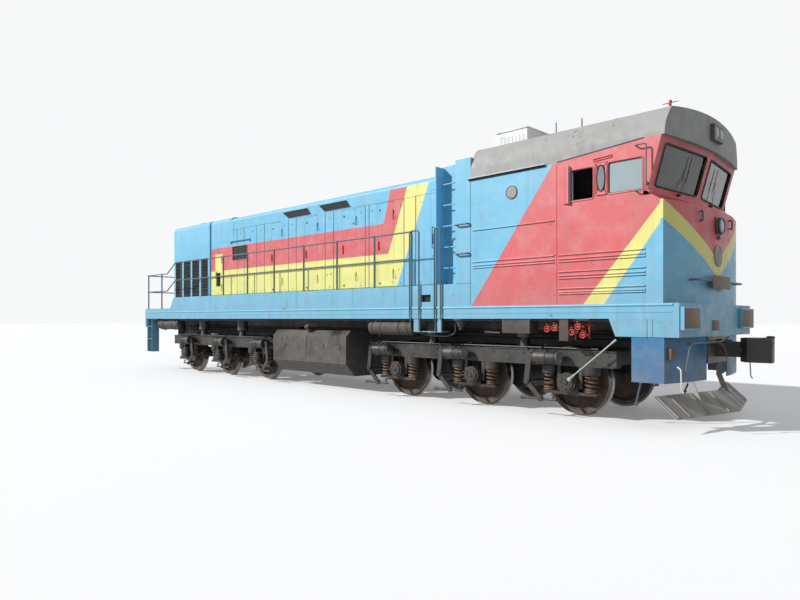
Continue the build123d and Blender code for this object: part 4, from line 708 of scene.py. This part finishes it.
def cab_details():
    y = HALF_WIDTH
    ribs = Piece("cab_ribs", "cab_side")
    for start, end, heights in CAB_RIBS:
        for z in heights:
            ribs.tube([(start, y, z), (start + 0.01, y + 0.001, z), (end - 0.01, y + 0.001, z), (end, y, z)], 0.013)
    ribs.tube([(6.14, y, 1.74), (6.14, y, 3.8)], 0.007)
    badge = Piece("side_badges", "disc")
    badge.bar("y", 5.33, 3.51, y - 0.002, y + 0.01, 0.105, sides=40)
    rim = Piece("badge_rims", "brown")
    rim.ring((5.33, y + 0.008, 3.51), OUT, 0.1, 0.008)
    gutter = Piece("roof_gutter", "gutter")
    gutter.box(4.47, 5.95, y - 0.004, y + 0.03, 3.826, 3.846)
    gutter.box(4.47, 5.95, y + 0.022, y + 0.03, 3.826, 3.866)
    seams = Piece("cab_seams_and_shadows", "seam_and_shadow")
    # Painted shadow: a dark strip under the gutter, where the roof edge casts its shade.
    seams.box(4.47, 5.95, y - 0.004, y + 0.01, 3.816, 3.826)
    # Painted shadow: a dark strip just below each pressed rib.
    for start, end, heights in CAB_RIBS:
        for z in heights:
            seams.box(start, end, y - 0.004, y + 0.003, z - 0.018, z - 0.01)
    # Painted shadow under the rising edge of the roof.
    seams.plate(y - 0.004, y + 0.005, [(6.15, 3.842), (7.48, 3.952), (7.48, 3.966), (6.15, 3.856)])
    seams.box(4.496, 4.504, y - 0.004, y + 0.0015, 1.73, 3.82)
    seams.box(4.18, 4.5, y - 0.004, y + 0.0015, 2.097, 2.103)
    for x in (-6, -4.2, -2.3, -0.4, 1.5, 2.7):
        seams.box(x - 0.002, x + 0.002, y - 0.004, y + 0.0012, 1.74, 2.09)
    # Painted shade: a dark sheet inside each step's foot hole, where the recess lies in shade.
    hole = Piece("foot_hole_shade", "soot_and_shade")
    hole.box(3.352, 3.598, y - 0.058, y - 0.052, 1.803, 1.928)
    rubber = Piece("window_rubbers", "rubber")
    for window in (FRONT_WINDOW, REAR_WINDOW):
        side_loop(rubber, *window, y - 0.004, 0.03, 0.006)
    oval = [(6.86 + 0.062 * math.cos(a), y + 0.02, 3.5 + 0.185 * math.sin(a)) for a in turns(32)]
    rubber.tube(oval, 0.008, True)
    rubber.bar("y", 7.53, 3.33, y - 0.002, y + 0.03, 0.022)
    sash = Piece("window_sash", "coral")
    for x0, x1, z0, z1 in (FRONT_WINDOW, REAR_WINDOW):
        side_loop(sash, x0 - 0.012, x1 + 0.012, z0 - 0.012, z1 + 0.012, y, 0.04, 0.011)
    side_loop(sash, 6.775, 6.945, 3.27, 3.73, y + 0.01, 0.03, 0.012)
    for x in (6.775, 6.925):
        sash.box(x, x + 0.02, y, y + 0.015, 3.27, 3.73)
    for z in (3.27, 3.68):
        sash.box(6.78, 6.94, y, y + 0.015, z, z + 0.05)
    corners = ((6.74, 3.79), (7.02, 3.81), (7.02, 3.78), (6.74, 3.76))
    sash.bent([(x, y + 0.008, z) for x, z in corners], 0.01, 0.008, True)
    wedge = Piece("wind_deflectors", "coral")
    wedge.prism([(6.235, y - 0.002, 3.2), (6.355, y - 0.002, 3.2), (6.355, y + 0.055, 3.2)], (0, 0, 0.56))
    pane = Piece("oval_panes", "mirror")
    pane.prism([(p[0], y + 0.016, p[2]) for p in oval], (0, 0.003, 0))
    pale = Piece("window_edges", "pale")
    pale.box(REAR_WINDOW[0] + 0.004, REAR_WINDOW[0] + 0.02, y - 0.03, y - 0.012, 3.25, 3.67)
    pale.box(6.355, 6.36, y - 0.002, y + 0.056, 3.2, 3.76)
    # Painted reflection: an opaque pale pane in the front window, standing for the sky mirrored in the glass.
    sky = Piece("sky_reflection_panes", "sky_reflection")
    x0, x1, z0, z1 = FRONT_WINDOW
    sky.box(x0 + 0.003, x1 - 0.003, y - 0.0155, y - 0.0135, z0 + 0.003, z1 - 0.003)


def screen_corners(side):
    """Corners of one windscreen opening on the outer face of the frame, and the directions across and up it."""
    y = side * SCREEN_HALF
    a, b, c, d = map(Vector, ((7.65, 0, 3.23), (7.52, y, 3.23), (7.72, y, 3.96), (7.85, 0, 3.96)))
    across = (b - a).normalized()
    up = (d - a).normalized()
    near, far = 0.09, 0.126
    corners = ((a, near, near), (b, -far, near), (c, -far, -near), (d, near, -near))
    return [corner + across * u + up * v for corner, u, v in corners], across, up


def front_details():
    rubber = lone("screen_rubbers", "rubber")
    for side in (-1, 1):
        corners, across, up = screen_corners(side)
        ahead = Vector(AHEAD)
        rubber.bent([c + ahead * 0.004 for c in corners], 0.055, 0.014, True)
        low = corners[0] * 0.55 + corners[1] * 0.45 - up * 0.05
        rubber.rod(low - ahead * 0.01, low + ahead * 0.045, 0.018)
        tip = low + up * 0.36 - across * 0.1 + ahead * 0.012
        knee = low + up * 0.06 + ahead * 0.03
        rubber.tube([low + ahead * 0.035, knee, tip + ahead * 0.01], 0.004)
        rubber.tube([tip - up * 0.17, tip + up * 0.2], 0.005)
    lamp = lone("nose_lamp_rim", "rail")
    lamp.ring((8, 0, 2.86), AHEAD, 0.112, 0.014)
    lamp.ring((7.965, 0, 2.86), AHEAD, 0.122, 0.01)
    lamp.bolts(circle("yz", (7.935, 0, 2.86), 0.16, (0.8, 2.4, 3.9, 5.5)), AHEAD, 0.012, 0.02)
    lamp.bar("x", 0, 2.69, 7.93, 7.975, 0.03)
    for y in (-0.615, 0.615):
        lamp.grip((7.9, y, 3.01), (7.9, y, 2.88), (0.045, 0, 0), 0.01, 0.014)
    lens = lone("lamp_lenses", "lens")
    lens.ball((7.992, 0, 2.86), 0.1, (0.22, 1, 1))
    pane = lone("headlight_panes", "mirror")
    for y in (-0.09, 0.09):
        pane.ball((7.957, y, 4.215), 0.074, (0.2, 1, 1))
    plate = lone("front_plates", "brown")
    plate.box(8.012, 8.02, -0.43, 0.28, 1.93, 2.12, 0.003)
    plate.bolts([(8.018, y, z) for y in (-0.41, 0.26) for z in (1.95, 2.1)], AHEAD, 0.008, 0.006)
    plate.box(7.948, 7.962, -0.25, 0, 1.33, 1.48, 0.004)
    plate.box(7.765, 7.825, -1.41, -1.24, 0.95, 1.1, 0.004)
    badge = lone("nose_badge", "disc")
    badge.bar("x", 0, 2.42, 7.93, 7.948, 0.15, sides=40)
    badge.ring((7.947, 0, 2.42), AHEAD, 0.15, 0.009)
    marker = Piece("marker_faces", "brown")
    marker.box(8.009, 8.014, 0.905, 1.44, 1.37, 1.64, 0.002)
    box = Piece("marker_sides", "blue")
    box.box(7.951, 8.0105, 0.885, 1.012, 1.351, 1.659, 0.004)
    base = Piece("screen_base", "coral")
    base.tube([(7.512, 1.45, 3.222), (7.652, 0, 3.222)], 0.022)
    base.box(7.46, 7.56, 1.4, 1.475, 3.175, 3.245, 0.01)
    skirt = Piece("front_skirts", "blue")
    skirt.plate(1.457, 1.4745, [(6.97, 1.502), (7.07, 1.251), (7.871, 1.251), (7.871, 1.502)])
    seams = Piece("front_seams", "seam_and_shadow")
    for x0, x1, z in ((7.598, 7.603, 1.26), (7.52, 7.526, 1.24)):
        seams.box(x0, x1, HALF_WIDTH - 0.004, HALF_WIDTH + 0.0015, z, 1.49)
    rods = Piece("uncoupling_handles", "white")
    rods.bent([(7.9, 1.4, 0.86), (7.96, 1.44, 0.83), (7.97, 1.45, 0.56), (8, 1.45, 0.53)], 0.03, 0.011)
    bar = lone("uncoupling_bar", "rail")
    bar.bent([(7.99, -1.36, 0.8), (8.03, -1.3, 1.17), (8.03, -0.1, 1.17), (8.1, -0.02, 1.24)], 0.05, 0.013)
    for y in (-1.22, -0.62):
        bar.box(7.95, 8.045, y - 0.012, y + 0.012, 1.15, 1.19, 0.004)
    claw = lone("coupler_pins", "frame")
    for sign in (1, -1):
        claw.bar("z", sign * 8.6, sign * 0.14, 0.87, 1.255, 0.035)
        claw.ring((sign * 8.6, sign * 0.14, 1.24), UP, 0.045, 0.012)
        for z in (0.93, 1.06, 1.19):
            claw.bar("y", sign * 8.31, z, sign * -0.15, sign * 0.19, 0.022)
        for y in (-0.33, 0.33):
            claw.bent([(sign * 8, y, 1.16), (sign * 8.12, y, 1.13), (sign * 8.16, y, 0.98)], 0.06, 0.022)
            claw.bar("x", y, 1.16, sign * 7.93, sign * 8.02, 0.034, sides=12)
    blade = Piece("plough_blade", "plough", stands_for="snow_plough")
    corners = [(7.95, 0, 0.45), (7.6, 1.45, 0.45), (7.92, 1.45, 0.17), (8.25, 0, 0.17)]
    blade.prism(corners, (-0.016, 0, 0))
    for y in (0.25, 0.7, 1.15, 1.4):
        blade.tube([(8.232 - 0.228 * y, y, 0.19), (7.962 - 0.241 * y, y, 0.44)], 0.012)
    arm = [(7.76, 1.249), (7.88, 1.249), (7.88, 0.7), (7.8, 0.64), (7.95, 0.28), (7.86, 0.28), (7.72, 0.64)]
    blade.plate(0.59, 0.61, arm)


def roof_details():
    trim = lone("roof_beads", "roof")
    for x in (4.56, 5.9, 7):
        trim.tube(roof_line("cab_roof", x, 1.4, 28), 0.008)
    trim.bolts([(4.95 + 0.15 * i, y, 4.44) for i in range(5) for y in (-0.4, 0.4)], UP, 0.01, 0.014)
    box = lone("roof_box", "white")
    box.box(4.885, 5.615, -0.395, 0.395, 4.605, 4.623, 0.006)
    box.plate(-0.38, 0.38, [(4.1, 4.46), (4.26, 4.88), (4.9, 4.88), (4.9, 4.46)])
    box.box(4.23, 4.92, -0.4, 0.4, 4.875, 4.895, 0.006)
    box.box(4.15, 4.5, -0.34, 0.34, 4.215, 4.47)
    for i in range(7):
        x = 4.3 + i * 0.08
        for y in (-0.388, 0.38):
            box.box(x, x + 0.045, y, y + 0.008, 4.62, 4.78)
            box.box(x + 0.68, x + 0.725, y, y + 0.008, 4.49, 4.57)
    mast = lone("mast_fittings", "red")
    mast.bar("z", MAST_X, 0, 4.44, 4.53, 0.05, 0.022)
    mast.ring((MAST_X, 0, 4.54), UP, 0.024, 0.008)
    mast.tube([(MAST_X - 0.12, 0, 4.84), (MAST_X + 0.12, 0, 4.84)], 0.007)
    mast.tube([(MAST_X, -0.1, 4.8), (MAST_X, 0.1, 4.8)], 0.007)
    mast.bar("z", MAST_X, 0, 4.85, 4.875, 0.024)
    aerial = lone("aerial_foot", "rail")
    aerial.bar("z", 5.75, 0, 4.44, 4.53, 0.045, 0.014)
    aerial.ring((5.75, 0, 4.455), UP, 0.05, 0.008)
    aerial.bar("z", 5.31, -0.1, 4.44, 4.54, 0.045, 0.014)
    aerial.bar("z", 5.31, -0.1, 4.53, 4.925, 0.01)
    stack = lone("stack_rim", "soot_and_shade")
    stack.ring((STACK_X, 0, 4.378), UP, 0.158, 0.01)
    stack.ring((STACK_X, 0, 4.262), UP, 0.172, 0.012)
    stack.bolts(circle("xy", (STACK_X, 0, 4.25), 0.2, turns(8)), UP, 0.012, 0.012)
    guard = lone("fan_guard_wires", "roof")
    for radius in (0.14, 0.26, 0.38, 0.5):
        guard.ring((FAN_X, 0, 4.311), UP, radius, 0.005, 6)
    guard.bolts(circle("xy", (FAN_X, 0, 4.318), 0.59, turns(12)), UP, 0.012, 0.01)


def rail_details():
    feet = Piece("post_feet", "rail")
    places = [(2.1 - 1.138 * n, 1.44, 2.098) for n in range(8)] + [(3.1, 1.44, 2.098)]
    for x, y, z in places + [(-7.1, 1.44, 1.798), (-7.99, 1.44, 1.798), (-8.1, 0.4, 1.798)]:
        feet.bar("z", x, y, z, z + 0.012, 0.034, sides=14)
    legs = Piece("grab_rod_feet", "rail")
    for x in (3.11, 3.34, 3.715, 3.86):
        legs.bent([(x, 1.505, 1.62), (x, 1.505, 1.52), (x, 1.478, 1.46), (x, 1.478, 1.27)], 0.03, 0.012)
    tread = Piece("step_treads", "rail")
    for i in range(9):
        x = 3.33 + i * 0.04
        tread.box(x, x + 0.012, 1.25, 1.46, 1.273, 1.279)
    for z in (1.28, 0.9, 0.52):
        for i in range(6):
            x = -8.03 + i * 0.05
            tread.box(x, x + 0.012, 1.25, 1.46, z - 0.001, z + 0.005)
    plates = Piece("walkway_ribs", "blue")
    for i in range(58):
        x = -6.15 + i * 0.16
        plates.box(x, x + 0.05, 0.95, 1.36, 2.099, 2.103)
    ends = lone("rear_end_details", "blue")
    ends.box(-7.512, -7.498, -0.3, 0.3, 2.15, 3.35, 0.004)
    for z in (2.4, 3.1):
        ends.bar("z", -7.515, 0.31, z - 0.04, z + 0.04, 0.012)
    for y in (-0.62, 0.62):
        ends.bar("x", y, 3.72, -7.5, -7.53, 0.09, sides=24)
        ends.ring((-7.53, y, 3.72), AHEAD, 0.085, 0.01)
    ends.grip((-7.5, -0.22, 2.6), (-7.5, -0.22, 2.95), (-0.05, 0, 0), 0.02, 0.009)


def below_details():
    pipes = Piece("sill_pipes", "frame")
    pipes.tube([(-7.3, 1.4, 1.478), (6.95, 1.4, 1.478)], 0.016)
    pipes.tube([(-6.15, 1.35, 1.455), (-1.55, 1.35, 1.455)], 0.011)
    hose = [(3.1, 1.38, 1.3), (3.35, 1.36, 1.2), (3.9, 1.36, 1.19), (4.05, 1.33, 1.24), (4.05, 1.33, 1.46)]
    pipes.bent(hose, 0.1, 0.012)
    pipes.bent([(4.75, 1.4, 1.28), (5.05, 1.4, 1.27)], 0.05, 0.014)
    for i in range(19):
        x = -7.1 + i * 0.75
        if abs(x) > 1.35:
            pipes.box(x - 0.02, x + 0.02, 1.32, 1.43, 1.46, 1.505)
    pipes.bar("z", 4.2, 1.36, 1.36, 1.5, 0.05, 0.11, 20)
    pipes.bar("z", 4.2, 1.36, 1.31, 1.37, 0.035)
    pipes.bar("z", 4.2, 1.36, 1.47, 1.5, 0.13, sides=20)
    trough = Piece("cable_troughs", "dark")
    for x0, x1 in ((-7.15, -1.5), (1.3, 7.05)):
        trough.box(x0, x1, 0.43, 0.55, 1.06, 1.295)
        for z, radius in ((1.24, 0.022), (1.17, 0.016)):
            trough.tube([(x0, 0.6, z), (x1, 0.6, z)], radius)
    trough.box(-1.3, 1.1, 0.3, 0.5, 1.245, 1.305)
    valves = Piece("red_valves", "red")
    for x, z in ((5.95, 1.34), (6.08, 1.36), (6.37, 1.3), (6.47, 1.38), (6.55, 1.26)):
        valves.bar("y", x, z, 1.28, 1.4, 0.026)
        valves.ball((x, 1.4, z), 0.033)
        valves.bar("x", 1.36, z, x - 0.06, x + 0.06, 0.018)
        valves.ring((x, 1.44, z), OUT, 0.042, 0.008)
        valves.bar("z", x, 1.36, z, z + 0.07, 0.014)
        valves.box(x - 0.015, x + 0.015, 1.37, 1.45, z + 0.065, z + 0.078, 0.003)
    for x0, x1, z in ((6.31, 6.66, 1.41), (5.91, 6.17, 1.33)):
        valves.tube([(x0, 1.33, z), (x1, 1.33, z)], 0.016)
    for x, z in ((6.37, 1.18), (6.6, 1.2)):
        valves.tube([(x, 1.33, z), (x, 1.33, 1.47)], 0.013)
    bands = Piece("reservoir_bands", "tank")
    for rear, front in ((1.9, 3.05), (-7.4, -6.2)):
        for x in (rear + 0.1, rear + 0.33, front - 0.33, front - 0.1):
            bands.ring((x, 1.29, 1.33), AHEAD, 0.142, 0.01)
        for x, way in ((rear, -1), (front, 1)):
            bands.ball((x, 1.29, 1.33), 0.13, (0.25, 1, 1))
            bands.bar("x", 1.29, 1.33, x, x + way * 0.05, 0.02)
        bands.bar("z", rear + 0.2, 1.29, 1.2, 1.15, 0.016)
    tank = Piece("tank_details", "tank")
    tank.box(-0.154, -0.146, 1.396, 1.403, 0.58, 1.12)
    tank.tube([(-1.38, 1.401, 0.565), (1.18, 1.401, 0.565)], 0.006)
    for x in (-0.95, 0.42, 0.98):
        tank.bar("y", x, 0.92, 1.398, 1.412, 0.055, sides=24)
        tank.bolts(circle("xz", (x, 1.41, 0.92), 0.04, (0.5, 2.1, 3.7, 5.2)), OUT, 0.007, 0.006)
    tank.rod((-0.1, 1.28, 1.18), (-0.1, 1.4, 1.32), 0.045)
    tank.rod((-0.1, 1.39, 1.31), (-0.1, 1.42, 1.345), 0.06)
    tank.box(-0.22, -0.12, 1.398, 1.41, 0.86, 1.12, 0.003)
    for x in (-1.3, 1.1):
        tank.bolts([(x, 1.399, z) for z in (0.62, 0.78, 0.94, 1.1)], OUT, 0.01, 0.006)
    skirt = Piece("skirt_fasteners", "blue")
    skirt.bolts([(x, HALF_WIDTH - 0.001, 1.45) for x in (7.05, 7.25, 7.45, 7.7, 7.85)], OUT, 0.009, 0.006)
    skirt.box(-8.14, 7.86, 1.474, 1.48, 1.585, 1.6)
    sand = Piece("sand_pipes", "rail")
    sand.bent([(7.16, 1.02, 1.15), (7.215, 1.02, 0.84), (7.24, 1, 0.64), (7.11, 0.9, 0.26)], 0.12, 0.016)
    sand.rod((7.14, 0.91, 0.31), (7.1, 0.89, 0.24), 0.024)


def strap(piece, start, end, y0, y1, half):
    """A flat link between two points of the X and Z plane."""
    run = Vector((end[0] - start[0], 0, end[1] - start[1])).normalized()
    side = Vector((-run.z, 0, run.x)) * half
    a = Vector((start[0], y0, start[1])) - run * half * 0.6
    b = Vector((end[0], y0, end[1])) + run * half * 0.6
    piece.prism([a - side, b - side, b + side, a + side], (0, y1 - y0, 0))


def bogie_details():
    hub = WHEEL_RADIUS
    for end, centre, turn in (("front", 4.3, 0), ("rear", -4.3, math.pi)):
        place = Matrix.Translation((centre, 0, 0)) @ Matrix.Rotation(turn, 4, "Z")
        body = "bogie_" + end
        coils = Piece("coil_springs_" + end, "spring", body, True, place, "springs_" + end)
        steel = Piece("bogie_flanges_" + end, "bogie", body, True, place)
        discs = Piece("cylinder_discs_" + end, "disc", body, True, place)
        necks = Piece("cylinder_necks_" + end, "dark", body, True, place)
        for z in (0.77, 1.004):
            for x0, x1 in ((-2.6, -2.16), (-1.5, -0.72), (0.35, 1.12), (2.18, 2.6)):
                steel.box(x0, x1, 1.129, 1.15, z, z + 0.016)
        for x in (-2.5, -2.3, -1.45, -1.32, -0.86, 0.42, 0.72, 1.02, 2.26, 2.5):
            steel.bolts([(x, 1.129, 0.83), (x, 1.129, 0.95)], OUT, 0.014, 0.012)
        steel.bent([(-2.35, 1.16, 1.045), (2.35, 1.16, 1.045)], 0.05, 0.012)
        for axle in (-1.85, 0, 1.85):
            for x in (axle + 0.335, axle - 0.38):
                coils.coil(x, 1.05, 0.3755, 0.6395, 0.089, 0.0155, 5.2)
                coils.coil(x, 1.05, 0.3755, 0.6395, 0.052, 0.01, 7.2)
            feed = [(axle - 0.43, 1.16, 1.045), (axle - 0.43, 1.24, 1.045), (axle - 0.43, 1.27, 0.99)]
            steel.bent(feed, 0.03, 0.01)
            steel.box(axle - 0.75, axle - 0.73, 1.155, 1.175, 1.018, 1.052)
            for x in (axle - 0.505, axle - 0.28, axle - 0.12):
                steel.ring((x, *CYLINDER), AHEAD, 0.107, 0.008)
            steel.bar("y", axle, hub, 1.205, 1.232, 0.118, sides=32)
            steel.bolts(circle("xz", (axle, 1.23, hub), 0.1, turns(8)), OUT, 0.012, 0.012)
            steel.ring((axle, 1.231, hub), OUT, 0.075, 0.007)
            steel.bar("y", axle, hub, 1.23, 1.25, 0.045, 0.03)
            for x in (axle - 0.215, axle + 0.155):
                steel.box(x, x + 0.06, 0.985, 1.115, 0.43, 0.775)
            top, knee, foot = (axle - 0.6, 0.925), (axle - 0.655, 0.505), (axle - 0.4, 0.245)
            strap(steel, top, knee, 1.262, 1.318, 0.045)
            strap(steel, knee, foot, 1.274, 1.306, 0.04)
            for x, z in (top, knee, foot):
                steel.bar("y", x, z, 1.255, 1.325, 0.04)
            steel.bar("x", 1.29, 0.245, axle - 0.76, axle - 0.13, 0.018)
            steel.bar("x", 1.29, 0.245, axle - 0.76, axle - 0.68, 0.03, 0.022)
            steel.bar("z", axle - 0.18, 1.29, 0.24, 0.32, 0.014)
            steel.box(axle - 0.21, axle - 0.15, 1.1, 1.31, 0.316, 0.332)
            steel.bar("z", axle - 0.4, 1.29, 1, 1.03, 0.022)
            x = axle - 0.091
            discs.bar("x", *CYLINDER, x, x + 0.012, 0.098, sides=32)
            discs.ring((x + 0.008, *CYLINDER), AHEAD, 0.096, 0.007)
            discs.bolts(circle("yz", (x + 0.01, *CYLINDER), 0.07, turns(6)), AHEAD, 0.01, 0.012)
            necks.bar("x", *CYLINDER, axle - 0.27, axle - 0.135, 0.1062, sides=32)
    shaft = Piece("speedometer_shaft", "bright", "bogie_front", False)
    shaft.rod((6.29, -1.3, 0.62), (6.98, -1.3, 1.185), 0.012)
    shaft.rod((6.25, -1.3, 0.588), (6.34, -1.3, 0.66), 0.018)
    shaft.rod((6.93, -1.3, 1.145), (7, -1.3, 1.202), 0.017)
    shaft.bar("y", 6.25, 0.585, -1.235, -1.315, 0.03)
    for number, x in enumerate(AXLES, 1):
        wheel = Piece(f"wheel_rings_{number}", f"wheel_{number}", f"wheelset_{number}")
        wheel.ring((x, 0.862, WHEEL_RADIUS), OUT, 0.44, 0.006)


def padded_form(name, x0, x1, y0, y1, z0, z1, flat_low):
    """A closed cushion whose faces swell and whose sides pull in between the corners."""
    mesh = bmesh.new()
    bmesh.ops.create_cube(mesh, size=2)
    bmesh.ops.subdivide_edges(mesh, edges=mesh.edges[:], cuts=9, use_grid_fill=True)
    half = Vector(((x1 - x0) / 2, (y1 - y0) / 2, (z1 - z0) / 2))
    middle = Vector(((x0 + x1) / 2, (y0 + y1) / 2, (z0 + z1) / 2 + LIFT))
    thin = min(range(3), key=lambda axis: half[axis])
    for vert in mesh.verts:
        u = [vert.co[axis] for axis in range(3) if axis != thin]
        t = vert.co[thin]
        swell = (1 - u[0] ** 4) * (1 - u[1] ** 4)
        rim = max(abs(u[0]), abs(u[1]))
        co = Vector(vert.co)
        for axis in range(3):
            if axis != thin:
                others = [vert.co[a] for a in range(3) if a not in (axis, thin)]
                co[axis] *= 1 - 0.05 * (1 - others[0] ** 2) - 0.05 * t * t * (rim > 0.98)
        low = flat_low and t < 0
        co[thin] = t * (0.62 + (0.05 if low else 0.38) * swell)
        channel = math.exp(-((u[1] / 0.06) ** 2)) + math.exp(-(((abs(u[1]) - 0.55) / 0.06) ** 2))
        co[thin] -= (0 if low else 0.16) * channel * swell * (1 if t > 0 else -1) * (abs(t) > 0.98)
        vert.co = Vector((co[a] * half[a] for a in range(3))) + middle
    item = mesh_object(name, mesh, "cushion")
    for face in item.data.polygons:
        face.use_smooth = True
    smooth = item.modifiers.new("smooth", "SUBSURF")
    smooth.levels = smooth.render_levels = 1
    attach(item, "body")


def seat_frames():
    seat = Piece("seat_frames", "rail", stands_for="seats")
    seat.bar("z", 6.25, 0.78, 2.1, 2.5, 0.045)
    seat.bar("z", 6.25, 0.78, 2.1, 2.12, 0.16, sides=28)
    seat.box(6.03, 6.47, 0.56, 1, 2.491, 2.5, 0.003)
    seat.box(5.991, 5.997, 0.6, 0.96, 2.5, 3.05, 0.002)
    seat.box(5.991, 6.06, 0.72, 0.84, 2.491, 2.504, 0.002)


def seat_pads():
    for side, sign in (("left", 1), ("right", -1)):
        y0, y1 = sorted((sign * 0.555, sign * 1.005))
        padded_form("seat_cushion_" + side, 6.025, 6.475, y0, y1, 2.501, 2.579, True)
        padded_form("seat_back_" + side, 5.998, 6.079, y0, y1, 2.586, 3.098, False)


def desk_details():
    desk = lone("desk_fittings", "rail")
    for y in (-0.95, -0.75, -0.55, 0.55, 0.75):
        desk.ring((7.14, y, 2.885), (-0.35, 0, 1), 0.06, 0.006)
        desk.rod((7.13, y, 2.875), (7.14, y, 2.883), 0.056, sides=20)
    for y in (-1.15, -0.35):
        desk.rod((7.05, y, 2.84), (7, y, 3), 0.01)
        desk.ball((6.995, y, 3.01), 0.025)
    desk.box(7.18, 7.36, -0.2, 0.2, 2.955, 3.03, 0.01)


DETAILS = [hood_details, cab_details, front_details, roof_details, rail_details, below_details, bogie_details]
for details in DETAILS + [seat_frames, seat_pads, desk_details]:
    details()
    for piece in Piece.made:
        piece.done()
    Piece.made.clear()


def stage():
    bpy.ops.mesh.primitive_plane_add(size=400)
    floor = bpy.context.object
    floor.name = "floor"
    s = Shader("floor")
    s.put(s.bsdf.inputs["Emission Color"], (1, 1, 1))
    s.put(s.bsdf.inputs["Emission Strength"], 0.18)
    floor.data.materials.append(s.finish((0.9, 0.9, 0.895), 0.9))
    floor.visible_diffuse = False
    world = bpy.data.worlds.new("world")
    scene.world = world
    # Lit from a dim blue sky, which the camera, glass and shiny paint see as pale grey.
    sky = Tree(world)
    rays = sky.node("LightPath").outputs
    seen = sky.math("MAXIMUM", rays["Is Camera Ray"], rays["Is Glossy Ray"])
    seen = sky.math("MAXIMUM", seen, rays["Is Transmission Ray"])
    mix = sky.node("MixShader", Fac=seen)
    for socket, color, strength in ((1, (0.86, 0.92, 1), 0.26), (2, (0.93, 0.94, 0.95), 1)):
        back = sky.node("Background", Color=color, Strength=strength)
        sky.put(mix.inputs[socket], back.outputs[0])
    sky.node("OutputWorld", Surface=mix.outputs[0])


def sun(name, power, angle, azimuth, height):
    """A soft sun shining from a compass direction in the plan, 0 being from -Y, 90 from +X."""
    data = bpy.data.lights.new(name, "SUN")
    data.energy = power
    data.angle = math.radians(angle)
    light = add_object(name, data)
    a = math.radians(azimuth)
    e = math.radians(height)
    toward = Vector((math.sin(a) * math.cos(e), -math.cos(a) * math.cos(e), math.sin(e)))
    light.rotation_mode = "QUATERNION"
    light.rotation_quaternion = toward.to_track_quat("Z", "Y")


def camera():
    data = bpy.data.cameras.new("camera")
    data.sensor_width = 36
    data.lens = 28.8
    data.shift_y = 0.0234
    cam = add_object("camera", data)
    cam.location = (11.22, -9.98, 1.5 + LIFT)
    heading = math.radians(44.6)
    look = Vector((-math.sin(heading), math.cos(heading), 0))
    cam.rotation_mode = "QUATERNION"
    cam.rotation_quaternion = look.to_track_quat("-Z", "Y")
    data.clip_end = 500
    scene.camera = cam


stage()
sun("key", 3.6, 1.5, -38, 30)
sun("fill", 0.25, 30, 70, 30)
camera()
scene.view_settings.view_transform = "Standard"
